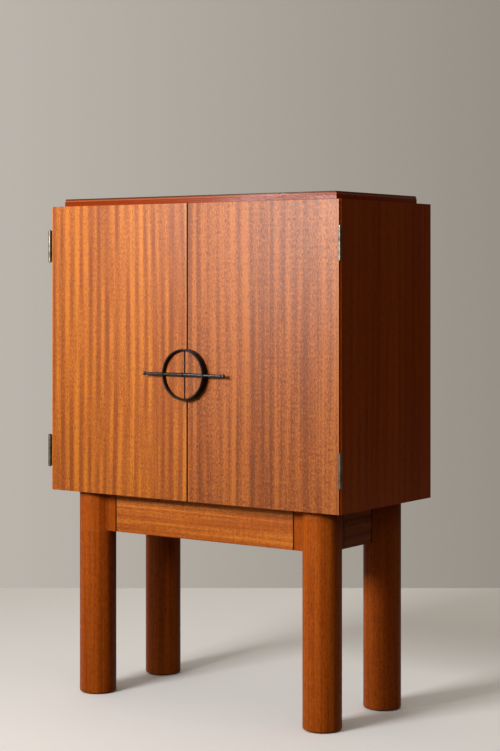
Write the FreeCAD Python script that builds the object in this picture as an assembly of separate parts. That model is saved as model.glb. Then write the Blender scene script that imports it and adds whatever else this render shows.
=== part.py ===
import FreeCAD, Part
import math
import os

# A bar cabinet on round legs: a mitred case with two doors, a raised slab on top, a hoop-and-rod
# pull that is cut in two between the doors, and a shelf that folds out from the right door.
# Millimetres. +X is to the right as one faces the doors, +Y runs to the back, +Z is up.
# The origin is on the floor under the middle of the whole object.

V = FreeCAD.Vector

# Case
CASE_WIDTH = 850.0
CASE_DEPTH = 400.0            # door faces to the rear edges
CASE_HEIGHT = 700.0
PANEL = 20.0                  # sides, top, bottom and doors, one board because they meet in mitres
SIDE_NOSE = 3.0               # rounding of each side's sharp front edge
DOOR_ARRIS = 1.0              # rounding round the door faces
BACK_THICKNESS = 9.0
BACK_RABBET = 10.0            # how far the back reaches into the panels round it
BACK_RECESS = 3.0             # back panel in from the rear edges
SPLINE_THICKNESS = 4.0
SPLINE_WIDTH = 16.0
SPLINE_FROM_INSIDE = 10.0     # spline centre from the inner corner, along the mitre
SPLINE_FROM_ENDS = 40.0       # spline ends from the front and rear of the joint

# Slab on the case
SLAB_THICKNESS = 19.0
SLAB_INSET = 24.0             # in from every face of the case
SLAB_LEAN = 1.6               # how far the upper part of the slab's edge leans in
SLAB_LEAN_HEIGHT = 9.0        # height of the leaning part
SLAB_ROUND = 1.5              # rounding of the upper arris

# Gaps and fits
DOOR_GAP = 1.6                # between a door and a side, square to the mitre
CENTRE_GAP = 2.5              # between the doors, and between the halves of the pull
CLOSE_GAP = 1.0               # between a closed door and the edges behind it
SEAT_FIT = 0.1                # clearance of a piece that seats in a recess
RUN_FIT = 0.06                # radial clearance of a turning pin
MOVE_GAP = 0.5                # between pieces that pass each other

# Base
BASE_HEIGHT = 500.0           # floor to the underside of the case
LEG_DIAMETER = 90.0
LEG_FROM_SIDE = 92.5          # leg axis to the side of the case
LEG_FROM_FRONT = 70.0         # leg axis to the door faces, and likewise to the rear edges
LEG_FOOT_ROUND = 4.0
EAR_REACH = 70.0              # leg axis to the joint with the apron
EAR_COVE = 14.0               # hollow between the round leg and its ears
APRON_THICKNESS = 28.0
APRON_HEIGHT = 98.0
JOINT_GROOVE = 1.2            # width of the shadow groove on each side of the joint line
JOINT_GROOVE_DEPTH = 3.0
TENON_THICKNESS = 10.0
TENON_HEIGHT = 60.0
TENON_DEPTH = 22.0            # into each of the two pieces
GLIDE_DIAMETER = 64.0
GLIDE_THICKNESS = 5.0
GLIDE_PROUD = 2.0
BOLT_DIAMETER = 8.0
BOLT_INTO_LEG = 40.0
BOLT_HEAD_DIAMETER = 14.0
BOLT_HEAD_HEIGHT = 4.5
BOLT_HEAD_SINK = 1.0          # head below the case floor
BOLT_SOCKET = 5.0             # across the flats
INSERT_DIAMETER = 13.0
INSERT_LENGTH = 30.0

# Shelves inside
SHELF_THICKNESS = 20.0
SHELF_RISE = 300.0            # fixed shelf's upper face above the case floor
SHELF_HOUSING = 6.0           # how far the fixed shelf enters the sides
SHELF_SETBACK = 14.0          # fixed shelf behind the closed doors
LOOSE_SHELF_THICKNESS = 18.0
LOOSE_SHELF_SETBACK = 40.0    # behind the fixed shelf's front edge
LOOSE_SHELF_PLAY = 1.0        # to the sides and to the back
SUPPORT_DIAMETER = 5.0
SUPPORT_DEPTH = 10.0          # into the side
SUPPORT_PITCH = 32.0
SUPPORT_FROM_EDGE = 50.0      # in from the loose shelf's front and rear edges
SUPPORT_REACH = 10.0          # tongue under the shelf
SUPPORT_WIDTH = 9.0
SUPPORT_TONGUE = 2.5          # thickness
SUPPORT_COLLAR = 1.0          # thickness

# Screws of the slab and of the back
SLAB_SCREW_HEAD = 8.0
SLAB_SCREW_SHANK = 4.0
SLAB_SCREW_GRIP = 12.0        # into the slab
SLAB_SCREW_SINK = 6.0         # below the ceiling of the case
SLAB_SCREW_FROM_EDGE = 70.0   # in from the slab's edges
BACK_SCREW_HEAD = 6.0
BACK_SCREW_SHANK = 3.0
BACK_SCREW_LENGTH = 22.0
BACK_SCREWS_ACROSS = 4
BACK_SCREWS_UP = 3
BACK_SCREW_FROM_CORNER = 60.0

# Hinges, with knuckles that belong in turn to the case and to the door
HINGE_LENGTH = 77.0
HINGE_FROM_END = 59.0         # hinge to the top or bottom of the case
HINGE_PIN_OUT = 2.0           # pin axis off the corner, sideways and forwards alike
KNUCKLE_RADIUS = 4.5
KNUCKLE_GAP = 0.4
KNUCKLE_COUNT = 5
PIN_RADIUS = 2.2
PIN_HEAD = 1.2                # low bevelled head at each end of the pin
LEAF_WIDTH = 24.0             # from the pin axis
LEAF_THICKNESS = 2.0
LEAF_CLEAR = 0.35             # leaf to the middle of the mitre gap
LEAF_SCREW_REACH = 15.0       # screws from the pin axis
LEAF_SCREW_SPREAD = 27.0      # outer screws from the middle one
LEAF_SCREW_HEAD = 6.0
LEAF_SCREW_SHANK = 3.0
LEAF_SCREW_COVER = 2.5        # wood left in front of a screw's tip

# Pull
PULL_RISE = 298.0             # centre above the bottom of the doors
HOOP_DIAMETER = 120.0
HOOP_WALL = 3.5
HOOP_PROUD = 20.0             # rim in front of the doors
HOOP_SEAT = 2.0               # let into the doors
HOOP_EDGE = 0.6               # chamfer of the rim
DISC_PROUD = 9.6
DISC_EDGE = 0.8
ROD_HALF_LENGTH = 121.0
ROD_RADIUS = 4.5              # at the middle
ROD_CLEAR = 0.4               # rod to the disc
ROD_END_RADIUS = 3.5          # at the neck
ROD_NECK_RADIUS = 2.3
ROD_NECK_LENGTH = 2.0
ROD_BALL_RADIUS = 4.8
ROD_COLLAR_LENGTH = 4.0       # turned collar beside the cut
ROD_COLLAR_PROUD = 0.4
PULL_SCREW_SHANK = 4.0
PULL_SCREW_HEAD = 8.0
PULL_SCREW_HEAD_HEIGHT = 2.5
ROD_SCREW_OUT = 22.0          # from the middle of the gap
ROD_SCREW_GRIP = 3.5
DISC_SCREW_OUT = 20.0
DISC_SCREW_RISE = 34.0        # above and below the rod
DISC_SCREW_GRIP = 6.0

# Catches of the doors
MAGNET_DIAMETER = 12.0
MAGNET_DEPTH = 8.0
STRIKE_DIAMETER = 14.0
STRIKE_DEPTH = 2.0
CATCH_OUT = 30.0              # from the middle of the gap

# Fold-out shelf on the inside of the right door
FOLD_THICKNESS = 18.0
FOLD_MARGIN = 34.0            # cheeks in from the edges of the door's inner face
FOLD_CEILING_GAP = 34.0       # free edge to the ceiling of the case
FOLD_SIDE_GAP = 1.0           # shelf to each cheek
FOLD_TAIL = 26.0              # behind the pin, held under the stop rail when open
FOLD_EDGE = 2.0               # rounding of the free edge
PIVOT_STANDOFF = 30.0         # pivot from the door's inner face
PIVOT_FROM_FACE = 7.0         # pivot from the face that lies underneath when open
PIVOT_RISE = 38.0             # pivot above the fixed shelf
PIVOT_DIAMETER = 6.0
PIVOT_REACH = 14.0            # into the shelf, and likewise into the cheek
BUSH_WALL = 1.5
NOTCH_RADIUS = 20.0           # finger notch in the free edge
CHEEK_THICKNESS = 18.0
CHEEK_BELOW = 33.0            # cheek below the pivot
CHEEK_ABOVE = 46.0
CHEEK_FRONT = 15.0            # cheek past the pivot
CHEEK_ROUND = 12.0
RAIL_HEIGHT = 30.0
RAIL_STOP_GAP = 0.3           # stop rail to the open shelf
STOW_WIDTH = 60.0             # block that the shelf leans on when stowed
STOW_HEIGHT = 30.0
STOW_DROP = 48.0              # top of the block below the shelf's free edge
STOW_MAGNET_DIAMETER = 12.0
STOW_MAGNET_DEPTH = 4.0
BRACKET_SCREW_HEAD = 7.0
BRACKET_SCREW_SHANK = 3.5
BRACKET_SCREW_GRIP = 13.0     # into the door
BRACKET_SCREW_WOOD = 18.0     # wood under a screw's head
CHEEK_SCREW_SPREAD = 22.0     # above and below the pivot
RAIL_SCREW_FROM_END = 45.0
STOW_SCREW_SPREAD = 20.0      # each side of the magnet

# Faces and levels that follow from the sizes
HALF = CASE_WIDTH / 2
INNER = HALF - PANEL
FRONT = (HOOP_PROUD - CASE_DEPTH) / 2
BACK = FRONT + CASE_DEPTH
DOOR_BACK = FRONT + PANEL
CASE_FRONT = DOOR_BACK + CLOSE_GAP
BACK_FACE = BACK - BACK_RECESS - BACK_THICKNESS
BOTTOM = BASE_HEIGHT
TOP = BOTTOM + CASE_HEIGHT
INNER_BOTTOM = BOTTOM + PANEL
INNER_TOP = TOP - PANEL
SHELF_FACE = INNER_BOTTOM + SHELF_RISE
SHELF_FRONT = DOOR_BACK + SHELF_SETBACK
LOOSE_FRONT = SHELF_FRONT + LOOSE_SHELF_SETBACK
LOOSE_BACK = BACK_FACE - LOOSE_SHELF_PLAY
SUPPORT_Z = INNER_BOTTOM + (SHELF_RISE - SHELF_THICKNESS) / 2
SUPPORT_YS = (LOOSE_FRONT + SUPPORT_FROM_EDGE, LOOSE_BACK - SUPPORT_FROM_EDGE)
LEG_X = HALF - LEG_FROM_SIDE
LEG_FRONT_Y = FRONT + LEG_FROM_FRONT
LEG_BACK_Y = BACK - LEG_FROM_FRONT
APRON_BOTTOM = BOTTOM - APRON_HEIGHT
APRON_MIDDLE = BOTTOM - APRON_HEIGHT / 2
HINGE_STARTS = {"lower": BOTTOM + HINGE_FROM_END, "upper": TOP - HINGE_FROM_END - HINGE_LENGTH}
KNUCKLE = (HINGE_LENGTH - (KNUCKLE_COUNT - 1) * KNUCKLE_GAP) / KNUCKLE_COUNT
LEAF_SCREW_LENGTH = LEAF_SCREW_REACH - math.sqrt(2) * HINGE_PIN_OUT - LEAF_CLEAR - LEAF_SCREW_COVER
PULL_Z = BOTTOM + PULL_RISE
CUT_X = CENTRE_GAP / 2
ROD_Y = FRONT - DISC_PROUD - ROD_CLEAR - ROD_RADIUS - ROD_COLLAR_PROUD
CATCH_ZS = (BOTTOM + PANEL / 2, TOP - PANEL / 2)
PIVOT_Y = DOOR_BACK + PIVOT_STANDOFF
PIVOT_Z = SHELF_FACE + PIVOT_RISE
FOLD_DOOR_SIDE = PIVOT_Y - (FOLD_THICKNESS - PIVOT_FROM_FACE)
FOLD_TOP = INNER_TOP - FOLD_CEILING_GAP
CHEEK_XS = (CUT_X + FOLD_MARGIN, INNER - FOLD_MARGIN - CHEEK_THICKNESS)
FOLD_X0 = CHEEK_XS[0] + CHEEK_THICKNESS + FOLD_SIDE_GAP
FOLD_X1 = CHEEK_XS[1] - FOLD_SIDE_GAP
FOLD_X = (FOLD_X0 + FOLD_X1) / 2
STOP_FACE = FOLD_DOOR_SIDE - MOVE_GAP
RAIL_LOW = PIVOT_Z + FOLD_THICKNESS - PIVOT_FROM_FACE + RAIL_STOP_GAP
CHEEK_FACE = PIVOT_Y + CHEEK_FRONT
STOW_Z = FOLD_TOP - STOW_DROP - STOW_HEIGHT / 2
BUSH_RADIUS = PIVOT_DIAMETER / 2 + BUSH_WALL
FAR = 2 * (CASE_WIDTH + CASE_HEIGHT + BASE_HEIGHT)    # past every edge of the object


def box(x0, x1, y0, y1, z0, z1):
    """A box between two corners."""
    return Part.makeBox(x1 - x0, y1 - y0, z1 - z0, V(x0, y0, z0))


def prism(points, sweep):
    """A flat outline of corner points, swept along a vector."""
    return Part.Face(Part.makePolygon(points + points[:1])).extrude(sweep)


def bar(start, along, radius, length):
    """A round bar or a tool for a round hole."""
    return Part.makeCylinder(radius, length, start, along)


def mirrored(shape):
    """The left-hand twin of a right-hand piece."""
    return shape.mirror(V(0, 0, 0), V(1, 0, 0))


def group(solids):
    """Like solids kept together as one named piece."""
    return Part.makeCompound(solids)


def rounded(shape, radius, chosen):
    """Rounds the edges whose two ends both pass a test."""
    edges = [e for e in shape.Edges if len(e.Vertexes) == 2 and all(chosen(v.Point) for v in e.Vertexes)]
    return shape.makeFillet(radius, edges)


def same(a, b):
    """True where two lengths are equal."""
    return abs(a - b) < 1e-6


def turned(shape, along):
    """Turns a piece made along -Z so that it points along another axis."""
    piece = shape.copy()
    piece.Placement = FreeCAD.Placement(V(0, 0, 0), FreeCAD.Rotation(V(0, 0, -1), along))
    return piece


def placed(shape, at):
    """A piece moved to a point."""
    piece = shape.copy()
    piece.translate(at)
    return piece


def screw_body(head, shank, length, fit):
    """A countersunk screw pointing along -Z from the middle of its head, wider all round by a fit."""
    wide = head / 2 + fit
    thin = shank / 2 + fit
    sink = (head - shank) / 2
    end = length + fit
    outline = [V(0, 0, fit), V(wide, 0, 0), V(thin, 0, -sink), V(thin, 0, -end), V(0, 0, -end)]
    if fit > 0:
        outline.insert(1, V(wide, 0, fit))
    face = Part.Face(Part.makePolygon(outline + outline[:1]))
    return face.revolve(V(0, 0, 0), V(0, 0, 1), 360)


def screw(head, shank, length):
    """A countersunk screw with a slot across its head."""
    slot = box(-head, head, -shank / 6, shank / 6, -(head - shank) / 4, head)
    return screw_body(head, shank, length, 0).cut(slot)


def screw_hole(head, shank, length):
    """The tool for a countersunk screw's hole."""
    return screw_body(head, shank, length, SEAT_FIT)


def at_corner(shape, level):
    """Sets a piece made round the hinge pin at the right corner; as made, the mitre is +X, the door +Y."""
    piece = shape.copy()
    piece.rotate(V(0, 0, 0), V(0, 0, 1), 135)
    piece.translate(V(HALF + HINGE_PIN_OUT, FRONT - HINGE_PIN_OUT, level))
    return piece


def mitre_tool(toward_door):
    """What a door (or a side) loses beyond the middle of the mitre and its half of the gap."""
    if toward_door:
        tool = box(-FAR, FAR, -DOOR_GAP / 2, FAR, -FAR, FAR)
    else:
        tool = box(-FAR, FAR, -FAR, DOOR_GAP / 2, -FAR, FAR)
    return at_corner(tool, 0)


def leaf_screw_places():
    """Heights of a leaf's screws above the foot of the hinge."""
    middle = HINGE_LENGTH / 2
    return [middle - LEAF_SCREW_SPREAD, middle, middle + LEAF_SCREW_SPREAD]


def leaf_screws(make, hand):
    """The screws of one leaf, or their holes; hand is 1 for the door's leaf and -1 for the case's."""
    piece = turned(make(LEAF_SCREW_HEAD, LEAF_SCREW_SHANK, LEAF_SCREW_LENGTH), V(0, hand, 0))
    return [placed(piece, V(LEAF_SCREW_REACH, hand * LEAF_CLEAR, z)) for z in leaf_screw_places()]


def hinge_leaf(hand):
    """A flat leaf with its share of the knuckles."""
    near = LEAF_CLEAR
    far = LEAF_CLEAR + LEAF_THICKNESS
    leaf = box(0, LEAF_WIDTH, min(hand * near, hand * far), max(hand * near, hand * far), 0, HINGE_LENGTH)
    own = 1 if hand > 0 else 0
    clearances = []
    knuckles = []
    for i in range(KNUCKLE_COUNT):
        start = i * (KNUCKLE + KNUCKLE_GAP)
        if i % 2 == own:
            knuckles.append(bar(V(0, 0, start), V(0, 0, 1), KNUCKLE_RADIUS, KNUCKLE))
        else:
            foot = V(0, 0, start - KNUCKLE_GAP)
            clearances.append(bar(foot, V(0, 0, 1), KNUCKLE_RADIUS + KNUCKLE_GAP, KNUCKLE + 2 * KNUCKLE_GAP))
    leaf = leaf.cut(clearances).fuse(knuckles)
    fit = RUN_FIT if hand > 0 else SEAT_FIT / 2
    bore = bar(V(0, 0, -FAR / 2), V(0, 0, 1), PIN_RADIUS + fit, FAR)
    return leaf.cut([bore] + leaf_screws(screw_hole, hand))


def hinge_pin():
    """A pin with a low bevelled head at each end."""
    wide = (PIN_RADIUS + KNUCKLE_RADIUS) / 2
    shaft = bar(V(0, 0, -KNUCKLE_GAP), V(0, 0, 1), PIN_RADIUS, HINGE_LENGTH + 2 * KNUCKLE_GAP)
    upper = Part.makeCone(wide, PIN_RADIUS, PIN_HEAD, V(0, 0, HINGE_LENGTH + KNUCKLE_GAP), V(0, 0, 1))
    lower = Part.makeCone(wide, PIN_RADIUS, PIN_HEAD, V(0, 0, -KNUCKLE_GAP), V(0, 0, -1))
    return shaft.fuse([upper, lower])


def hinge_pocket(hand):
    """What the wood loses to a hinge: room for a leaf, for the barrel and for the screws."""
    depth = hand * (LEAF_CLEAR + LEAF_THICKNESS)
    seat = box(0, LEAF_WIDTH + SEAT_FIT, min(0, depth), max(0, depth), -SEAT_FIT, HINGE_LENGTH + SEAT_FIT)
    ends = KNUCKLE_GAP + PIN_HEAD + MOVE_GAP
    barrel = bar(V(0, 0, -ends), V(0, 0, 1), KNUCKLE_RADIUS + MOVE_GAP, HINGE_LENGTH + 2 * ends)
    return [seat, barrel] + leaf_screws(screw_hole, hand)


def hinge_pockets(hand):
    """Both hinges' pockets at the right corner."""
    return [at_corner(tool, level) for level in HINGE_STARTS.values() for tool in hinge_pocket(hand)]


def case_mitre(level, up, outside):
    """The wedge beyond a case corner's mitre: a side loses the inner one, top or bottom the outer one."""
    inner = level - up * PANEL
    apex = V(INNER, CASE_FRONT, level) if not outside else V(HALF, CASE_FRONT, inner)
    points = [V(INNER, CASE_FRONT, inner), V(HALF, CASE_FRONT, level), apex]
    return prism(points, V(0, BACK - CASE_FRONT, 0))


def corner_spline(level, up, fit):
    """A loose tongue across a right-hand case mitre."""
    along = math.sqrt(2) * PANEL - SPLINE_FROM_INSIDE
    half_thickness = SPLINE_THICKNESS / 2 + fit
    half_width = SPLINE_WIDTH / 2 + fit
    start = CASE_FRONT + SPLINE_FROM_ENDS - fit
    end = BACK - SPLINE_FROM_ENDS + fit
    tongue = box(-half_width, half_width, start, end, -half_thickness, half_thickness)
    tongue.rotate(V(0, 0, 0), V(0, 1, 0), 45 * up)
    tongue.translate(V(HALF - along / math.sqrt(2), 0, level - up * along / math.sqrt(2)))
    return tongue


def splines(fit):
    """The four tongues of the case."""
    right = [corner_spline(BOTTOM, -1, fit), corner_spline(TOP, 1, fit)]
    return right + [mirrored(s) for s in right]


def back_recess():
    """The step that the back panel sits in."""
    reach = INNER + BACK_RABBET
    return box(-reach, reach, BACK_FACE, FAR, INNER_BOTTOM - BACK_RABBET, INNER_TOP + BACK_RABBET)


def back_screw_places():
    """Middles of the back's screws, half way along the step."""
    half_width = INNER + BACK_RABBET / 2
    low = INNER_BOTTOM - BACK_RABBET / 2
    high = INNER_TOP + BACK_RABBET / 2
    span = 2 * (half_width - BACK_SCREW_FROM_CORNER)
    rise = high - low - 2 * BACK_SCREW_FROM_CORNER
    places = []
    for i in range(BACK_SCREWS_ACROSS):
        x = -span / 2 + span * i / (BACK_SCREWS_ACROSS - 1)
        places += [V(x, BACK_FACE + BACK_THICKNESS, z) for z in (low, high)]
    for i in range(BACK_SCREWS_UP):
        z = low + BACK_SCREW_FROM_CORNER + rise * i / (BACK_SCREWS_UP - 1)
        places += [V(x, BACK_FACE + BACK_THICKNESS, z) for x in (-half_width, half_width)]
    return places


def back_screws(make):
    """The back's screws, or their holes."""
    piece = turned(make(BACK_SCREW_HEAD, BACK_SCREW_SHANK, BACK_SCREW_LENGTH), V(0, -1, 0))
    return [placed(piece, at) for at in back_screw_places()]


def slab_screw_places():
    """Where the slab's screws stand, in from its edges."""
    inset = SLAB_INSET + SLAB_SCREW_FROM_EDGE
    return [(x, y) for x in (inset - HALF, HALF - inset) for y in (FRONT + inset, BACK - inset)]


def slab_screws(make):
    """The slab's screws, or their holes, driven up from the ceiling of the case."""
    length = PANEL - SLAB_SCREW_SINK + SLAB_SCREW_GRIP
    piece = turned(make(SLAB_SCREW_HEAD, SLAB_SCREW_SHANK, length), V(0, 0, 1))
    return [placed(piece, V(x, y, INNER_TOP + SLAB_SCREW_SINK)) for x, y in slab_screw_places()]


def shelf_support(hand, y):
    """A brass support: peg in the side, collar against it, tongue under the shelf."""
    peg = bar(V(INNER, y, SUPPORT_Z), V(1, 0, 0), SUPPORT_DIAMETER / 2, SUPPORT_DEPTH - SEAT_FIT)
    collar = bar(V(INNER, y, SUPPORT_Z), V(-1, 0, 0), SUPPORT_WIDTH / 2, SUPPORT_COLLAR)
    half = SUPPORT_WIDTH / 2
    crown = SUPPORT_Z + half
    tongue = box(INNER - SUPPORT_REACH, INNER, y - half, y + half, crown - SUPPORT_TONGUE, crown)
    piece = peg.fuse([collar, tongue])
    return piece if hand > 0 else mirrored(piece)


def support_holes():
    """Three rows of holes in the right side for the supports."""
    tools = []
    for row in (-1, 0, 1):
        for y in SUPPORT_YS:
            at = V(INNER, y, SUPPORT_Z + row * SUPPORT_PITCH)
            tools.append(bar(at, V(1, 0, 0), SUPPORT_DIAMETER / 2 + SEAT_FIT, SUPPORT_DEPTH))
    return tools


def catch_bars(y, radius, depth, hand):
    """Round magnets or strikes for one door, at top and bottom, from a face at y towards the back."""
    return [bar(V(hand * CATCH_OUT, y, z), V(0, 1, 0), radius, depth) for z in CATCH_ZS]


def right_side():
    """Right side: mitred to top, bottom and door, with the hinges let in."""
    side = box(INNER, HALF, FRONT, BACK, BOTTOM, TOP).cut(mitre_tool(True))
    side = rounded(side, SIDE_NOSE, lambda p: same(p.x, HALF) and p.y < DOOR_BACK)
    tools = [case_mitre(BOTTOM, -1, False), case_mitre(TOP, 1, False), back_recess()]
    tools += hinge_pockets(-1) + support_holes() + splines(SEAT_FIT)
    shelf_under = SHELF_FACE - SHELF_THICKNESS
    tools.append(box(INNER, INNER + SHELF_HOUSING, SHELF_FRONT, FAR, shelf_under, SHELF_FACE))
    return side.cut(tools + back_screws(screw_hole))


def case_board(level, up):
    """Top (up is 1) or bottom (up is -1) of the case, mitred at both ends."""
    inner = level - up * PANEL
    board = box(-HALF, HALF, CASE_FRONT, BACK, min(level, inner), max(level, inner))
    wedge = case_mitre(level, up, True)
    tools = [wedge, mirrored(wedge), back_recess()] + splines(SEAT_FIT) + back_screws(screw_hole)
    for hand in (-1, 1):
        tools += catch_bars(CASE_FRONT, MAGNET_DIAMETER / 2 + SEAT_FIT, MAGNET_DEPTH, hand)
    return board.cut(tools)


def case_top():
    """Top of the case, bored for the slab's screws."""
    radius = SLAB_SCREW_HEAD / 2 + SEAT_FIT
    wells = [bar(V(x, y, INNER_TOP), V(0, 0, 1), radius, SLAB_SCREW_SINK) for x, y in slab_screw_places()]
    return case_board(TOP, 1).cut(slab_screws(screw_hole) + wells)


def case_bottom():
    """Bottom of the case, bored for the bolts into the legs."""
    tools = []
    for x, y, _ in leg_places():
        tools.append(bar(V(x, y, BOTTOM), V(0, 0, 1), BOLT_DIAMETER / 2 + SEAT_FIT, PANEL))
        well = BOLT_HEAD_HEIGHT + BOLT_HEAD_SINK
        tools.append(bar(V(x, y, INNER_BOTTOM - well), V(0, 0, 1), BOLT_HEAD_DIAMETER / 2 + MOVE_GAP, well))
    return case_board(BOTTOM, -1).cut(tools)


def back_panel():
    """Back panel in the step round the rear of the case."""
    reach = INNER + BACK_RABBET - SEAT_FIT
    low = INNER_BOTTOM - BACK_RABBET + SEAT_FIT
    high = INNER_TOP + BACK_RABBET - SEAT_FIT
    panel = box(-reach, reach, BACK_FACE, BACK_FACE + BACK_THICKNESS, low, high)
    return panel.cut(back_screws(screw_hole))


def slab_leans(reach, front, back, crown):
    """Wedges taken off the upper part of the slab's four edges."""
    lean = crown - SLAB_LEAN_HEIGHT
    wedges = []
    for y, inward in ((front, SLAB_LEAN), (back, -SLAB_LEAN)):
        profile = [V(-reach, y, lean), V(-reach, y, crown), V(-reach, y + inward, crown)]
        wedges.append(prism(profile, V(2 * reach, 0, 0)))
    for x, inward in ((-reach, SLAB_LEAN), (reach, -SLAB_LEAN)):
        profile = [V(x, front, lean), V(x, front, crown), V(x + inward, front, crown)]
        wedges.append(prism(profile, V(0, back - front, 0)))
    return wedges


def top_slab():
    """Raised slab: its edge stands upright below and leans in above, up to a rounded arris."""
    reach = HALF - SLAB_INSET
    front = FRONT + SLAB_INSET
    back = BACK - SLAB_INSET
    crown = TOP + SLAB_THICKNESS
    slab = box(-reach, reach, front, back, TOP, crown).cut(slab_leans(reach, front, back, crown))
    slab = rounded(slab, SLAB_ROUND, lambda p: same(p.z, crown))
    return slab.cut(slab_screws(screw_hole))


def fixed_shelf():
    """Shelf housed in both sides."""
    reach = INNER + SHELF_HOUSING - SEAT_FIT
    return box(-reach, reach, SHELF_FRONT, BACK_FACE, SHELF_FACE - SHELF_THICKNESS, SHELF_FACE)


def loose_shelf():
    """Shelf that rests on the four supports."""
    reach = INNER - LOOSE_SHELF_PLAY
    seat = SUPPORT_Z + SUPPORT_WIDTH / 2
    return box(-reach, reach, LOOSE_FRONT, LOOSE_BACK, seat, seat + LOOSE_SHELF_THICKNESS)


def leg_places():
    """Leg axes, with the quarter turns that point each leg's ears along the aprons."""
    front = [(-LEG_X, LEG_FRONT_Y, 0), (LEG_X, LEG_FRONT_Y, 1)]
    return front + [(LEG_X, LEG_BACK_Y, 2), (-LEG_X, LEG_BACK_Y, 3)]


def leg_head_outline():
    """Plan of a leg's head: a circle with an ear along +X and one along +Y, each joined by hollow coves."""
    radius = LEG_DIAMETER / 2
    half = APRON_THICKNESS / 2
    cove_y = half + EAR_COVE
    cove_x = math.sqrt((radius + EAR_COVE) ** 2 - cove_y ** 2)
    share = radius / (radius + EAR_COVE)
    touch_x = cove_x * share
    touch_y = cove_y * share
    bend = V(-cove_x / (radius + EAR_COVE), -cove_y / (radius + EAR_COVE) - 1, 0).normalize()
    middle = V(cove_x, cove_y, 0) + bend * EAR_COVE
    diagonal = radius * math.sqrt(0.5)
    tip = EAR_REACH - JOINT_GROOVE
    edge = half - JOINT_GROOVE_DEPTH
    inner = Part.Arc(V(touch_x, touch_y, 0), V(diagonal, diagonal, 0), V(touch_y, touch_x, 0))
    outer = Part.Arc(V(-touch_y, touch_x, 0), V(-diagonal, -diagonal, 0), V(touch_x, -touch_y, 0))
    edges = [inner.toShape(), outer.toShape()]
    for swap in (False, True):
        for hand in (1, -1):
            groove = [V(EAR_REACH, hand * edge, 0), V(tip, hand * edge, 0)]
            points = groove + [V(tip, hand * half, 0), V(cove_x, hand * half, 0)]
            bottom = V(middle.x, hand * middle.y, 0)
            curve = [V(cove_x, hand * half, 0), bottom, V(touch_x, hand * touch_y, 0)]
            if swap:
                points = [V(p.y, p.x, 0) for p in points]
                curve = [V(p.y, p.x, 0) for p in curve]
            edges += [Part.makeLine(a, b) for a, b in zip(points, points[1:])]
            edges.append(Part.Arc(curve[0], curve[1], curve[2]).toShape())
    edges.append(Part.makeLine(V(EAR_REACH, -edge, 0), V(EAR_REACH, edge, 0)))
    edges.append(Part.makeLine(V(-edge, EAR_REACH, 0), V(edge, EAR_REACH, 0)))
    return Part.Wire(Part.__sortEdges__(edges))


def tenon(fit):
    """A loose tenon with round edges, lying along X across a joint at the origin."""
    radius = TENON_THICKNESS / 2 + fit
    length = 2 * TENON_DEPTH - SEAT_FIT + 2 * fit
    flat = TENON_HEIGHT / 2 - TENON_THICKNESS / 2
    body = box(-length / 2, length / 2, -radius, radius, -flat, flat)
    ends = [bar(V(-length / 2, 0, z), V(1, 0, 0), radius, length) for z in (-flat, flat)]
    return body.fuse(ends).removeSplitter()


def leg(x, y, quarter):
    """A round leg whose head grows ears for the aprons."""
    head = Part.Face(leg_head_outline()).extrude(V(0, 0, APRON_HEIGHT))
    head.translate(V(0, 0, APRON_BOTTOM))
    shaft = bar(V(0, 0, GLIDE_PROUD), V(0, 0, 1), LEG_DIAMETER / 2, BOTTOM - GLIDE_PROUD)
    foot = [e for e in shaft.Edges if len(e.Vertexes) == 1 and same(e.Vertexes[0].Z, GLIDE_PROUD)]
    solid = shaft.makeFillet(LEG_FOOT_ROUND, foot).fuse(head).removeSplitter()
    mortise = placed(tenon(SEAT_FIT), V(EAR_REACH, 0, APRON_MIDDLE))
    second = mortise.copy()
    second.rotate(V(0, 0, 0), V(0, 0, 1), 90)
    well = bar(V(0, 0, BOTTOM), V(0, 0, -1), INSERT_DIAMETER / 2 + SEAT_FIT, INSERT_LENGTH)
    bolt_hole = bar(V(0, 0, BOTTOM), V(0, 0, -1), BOLT_DIAMETER / 2 + SEAT_FIT, BOLT_INTO_LEG + MOVE_GAP)
    seat = bar(V(0, 0, 0), V(0, 0, 1), GLIDE_DIAMETER / 2 + SEAT_FIT, GLIDE_THICKNESS)
    solid = solid.cut([mortise, second, well, bolt_hole, seat])
    solid.rotate(V(0, 0, 0), V(0, 0, 1), 90 * quarter)
    solid.translate(V(x, y, 0))
    return solid


def apron(start, end):
    """A rail between two ears, from one leg axis to another, grooved and mortised at its ends."""
    run = (end - start).Length - 2 * EAR_REACH
    half = APRON_THICKNESS / 2
    outline = []
    for x, y in ((-1, -1), (1, -1), (1, 1), (-1, 1)):
        root = y * (half - JOINT_GROOVE_DEPTH)
        lip = x * (run / 2 - JOINT_GROOVE)
        steps = [V(x * run / 2, root, 0), V(lip, root, 0), V(lip, y * half, 0)]
        outline += steps if x * y > 0 else steps[::-1]
    rail = placed(prism(outline, V(0, 0, APRON_HEIGHT)), V(0, 0, APRON_BOTTOM))
    ends = [placed(tenon(SEAT_FIT), V(x, 0, APRON_MIDDLE)) for x in (-run / 2, run / 2)]
    return laid(rail.cut(ends), start, end)


def laid(shape, start, end):
    """Turns a piece made along X to lie between two leg axes."""
    piece = shape.copy()
    piece.rotate(V(0, 0, 0), V(0, 0, 1), math.degrees(math.atan2(end.y - start.y, end.x - start.x)))
    piece.translate((start + end) / 2)
    return piece


def apron_runs():
    """Leg axes that each apron joins."""
    corners = [V(x, y, 0) for x, y, _ in leg_places()]
    return dict(zip(("front", "right", "back", "left"), zip(corners, corners[1:] + corners[:1])))


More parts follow.
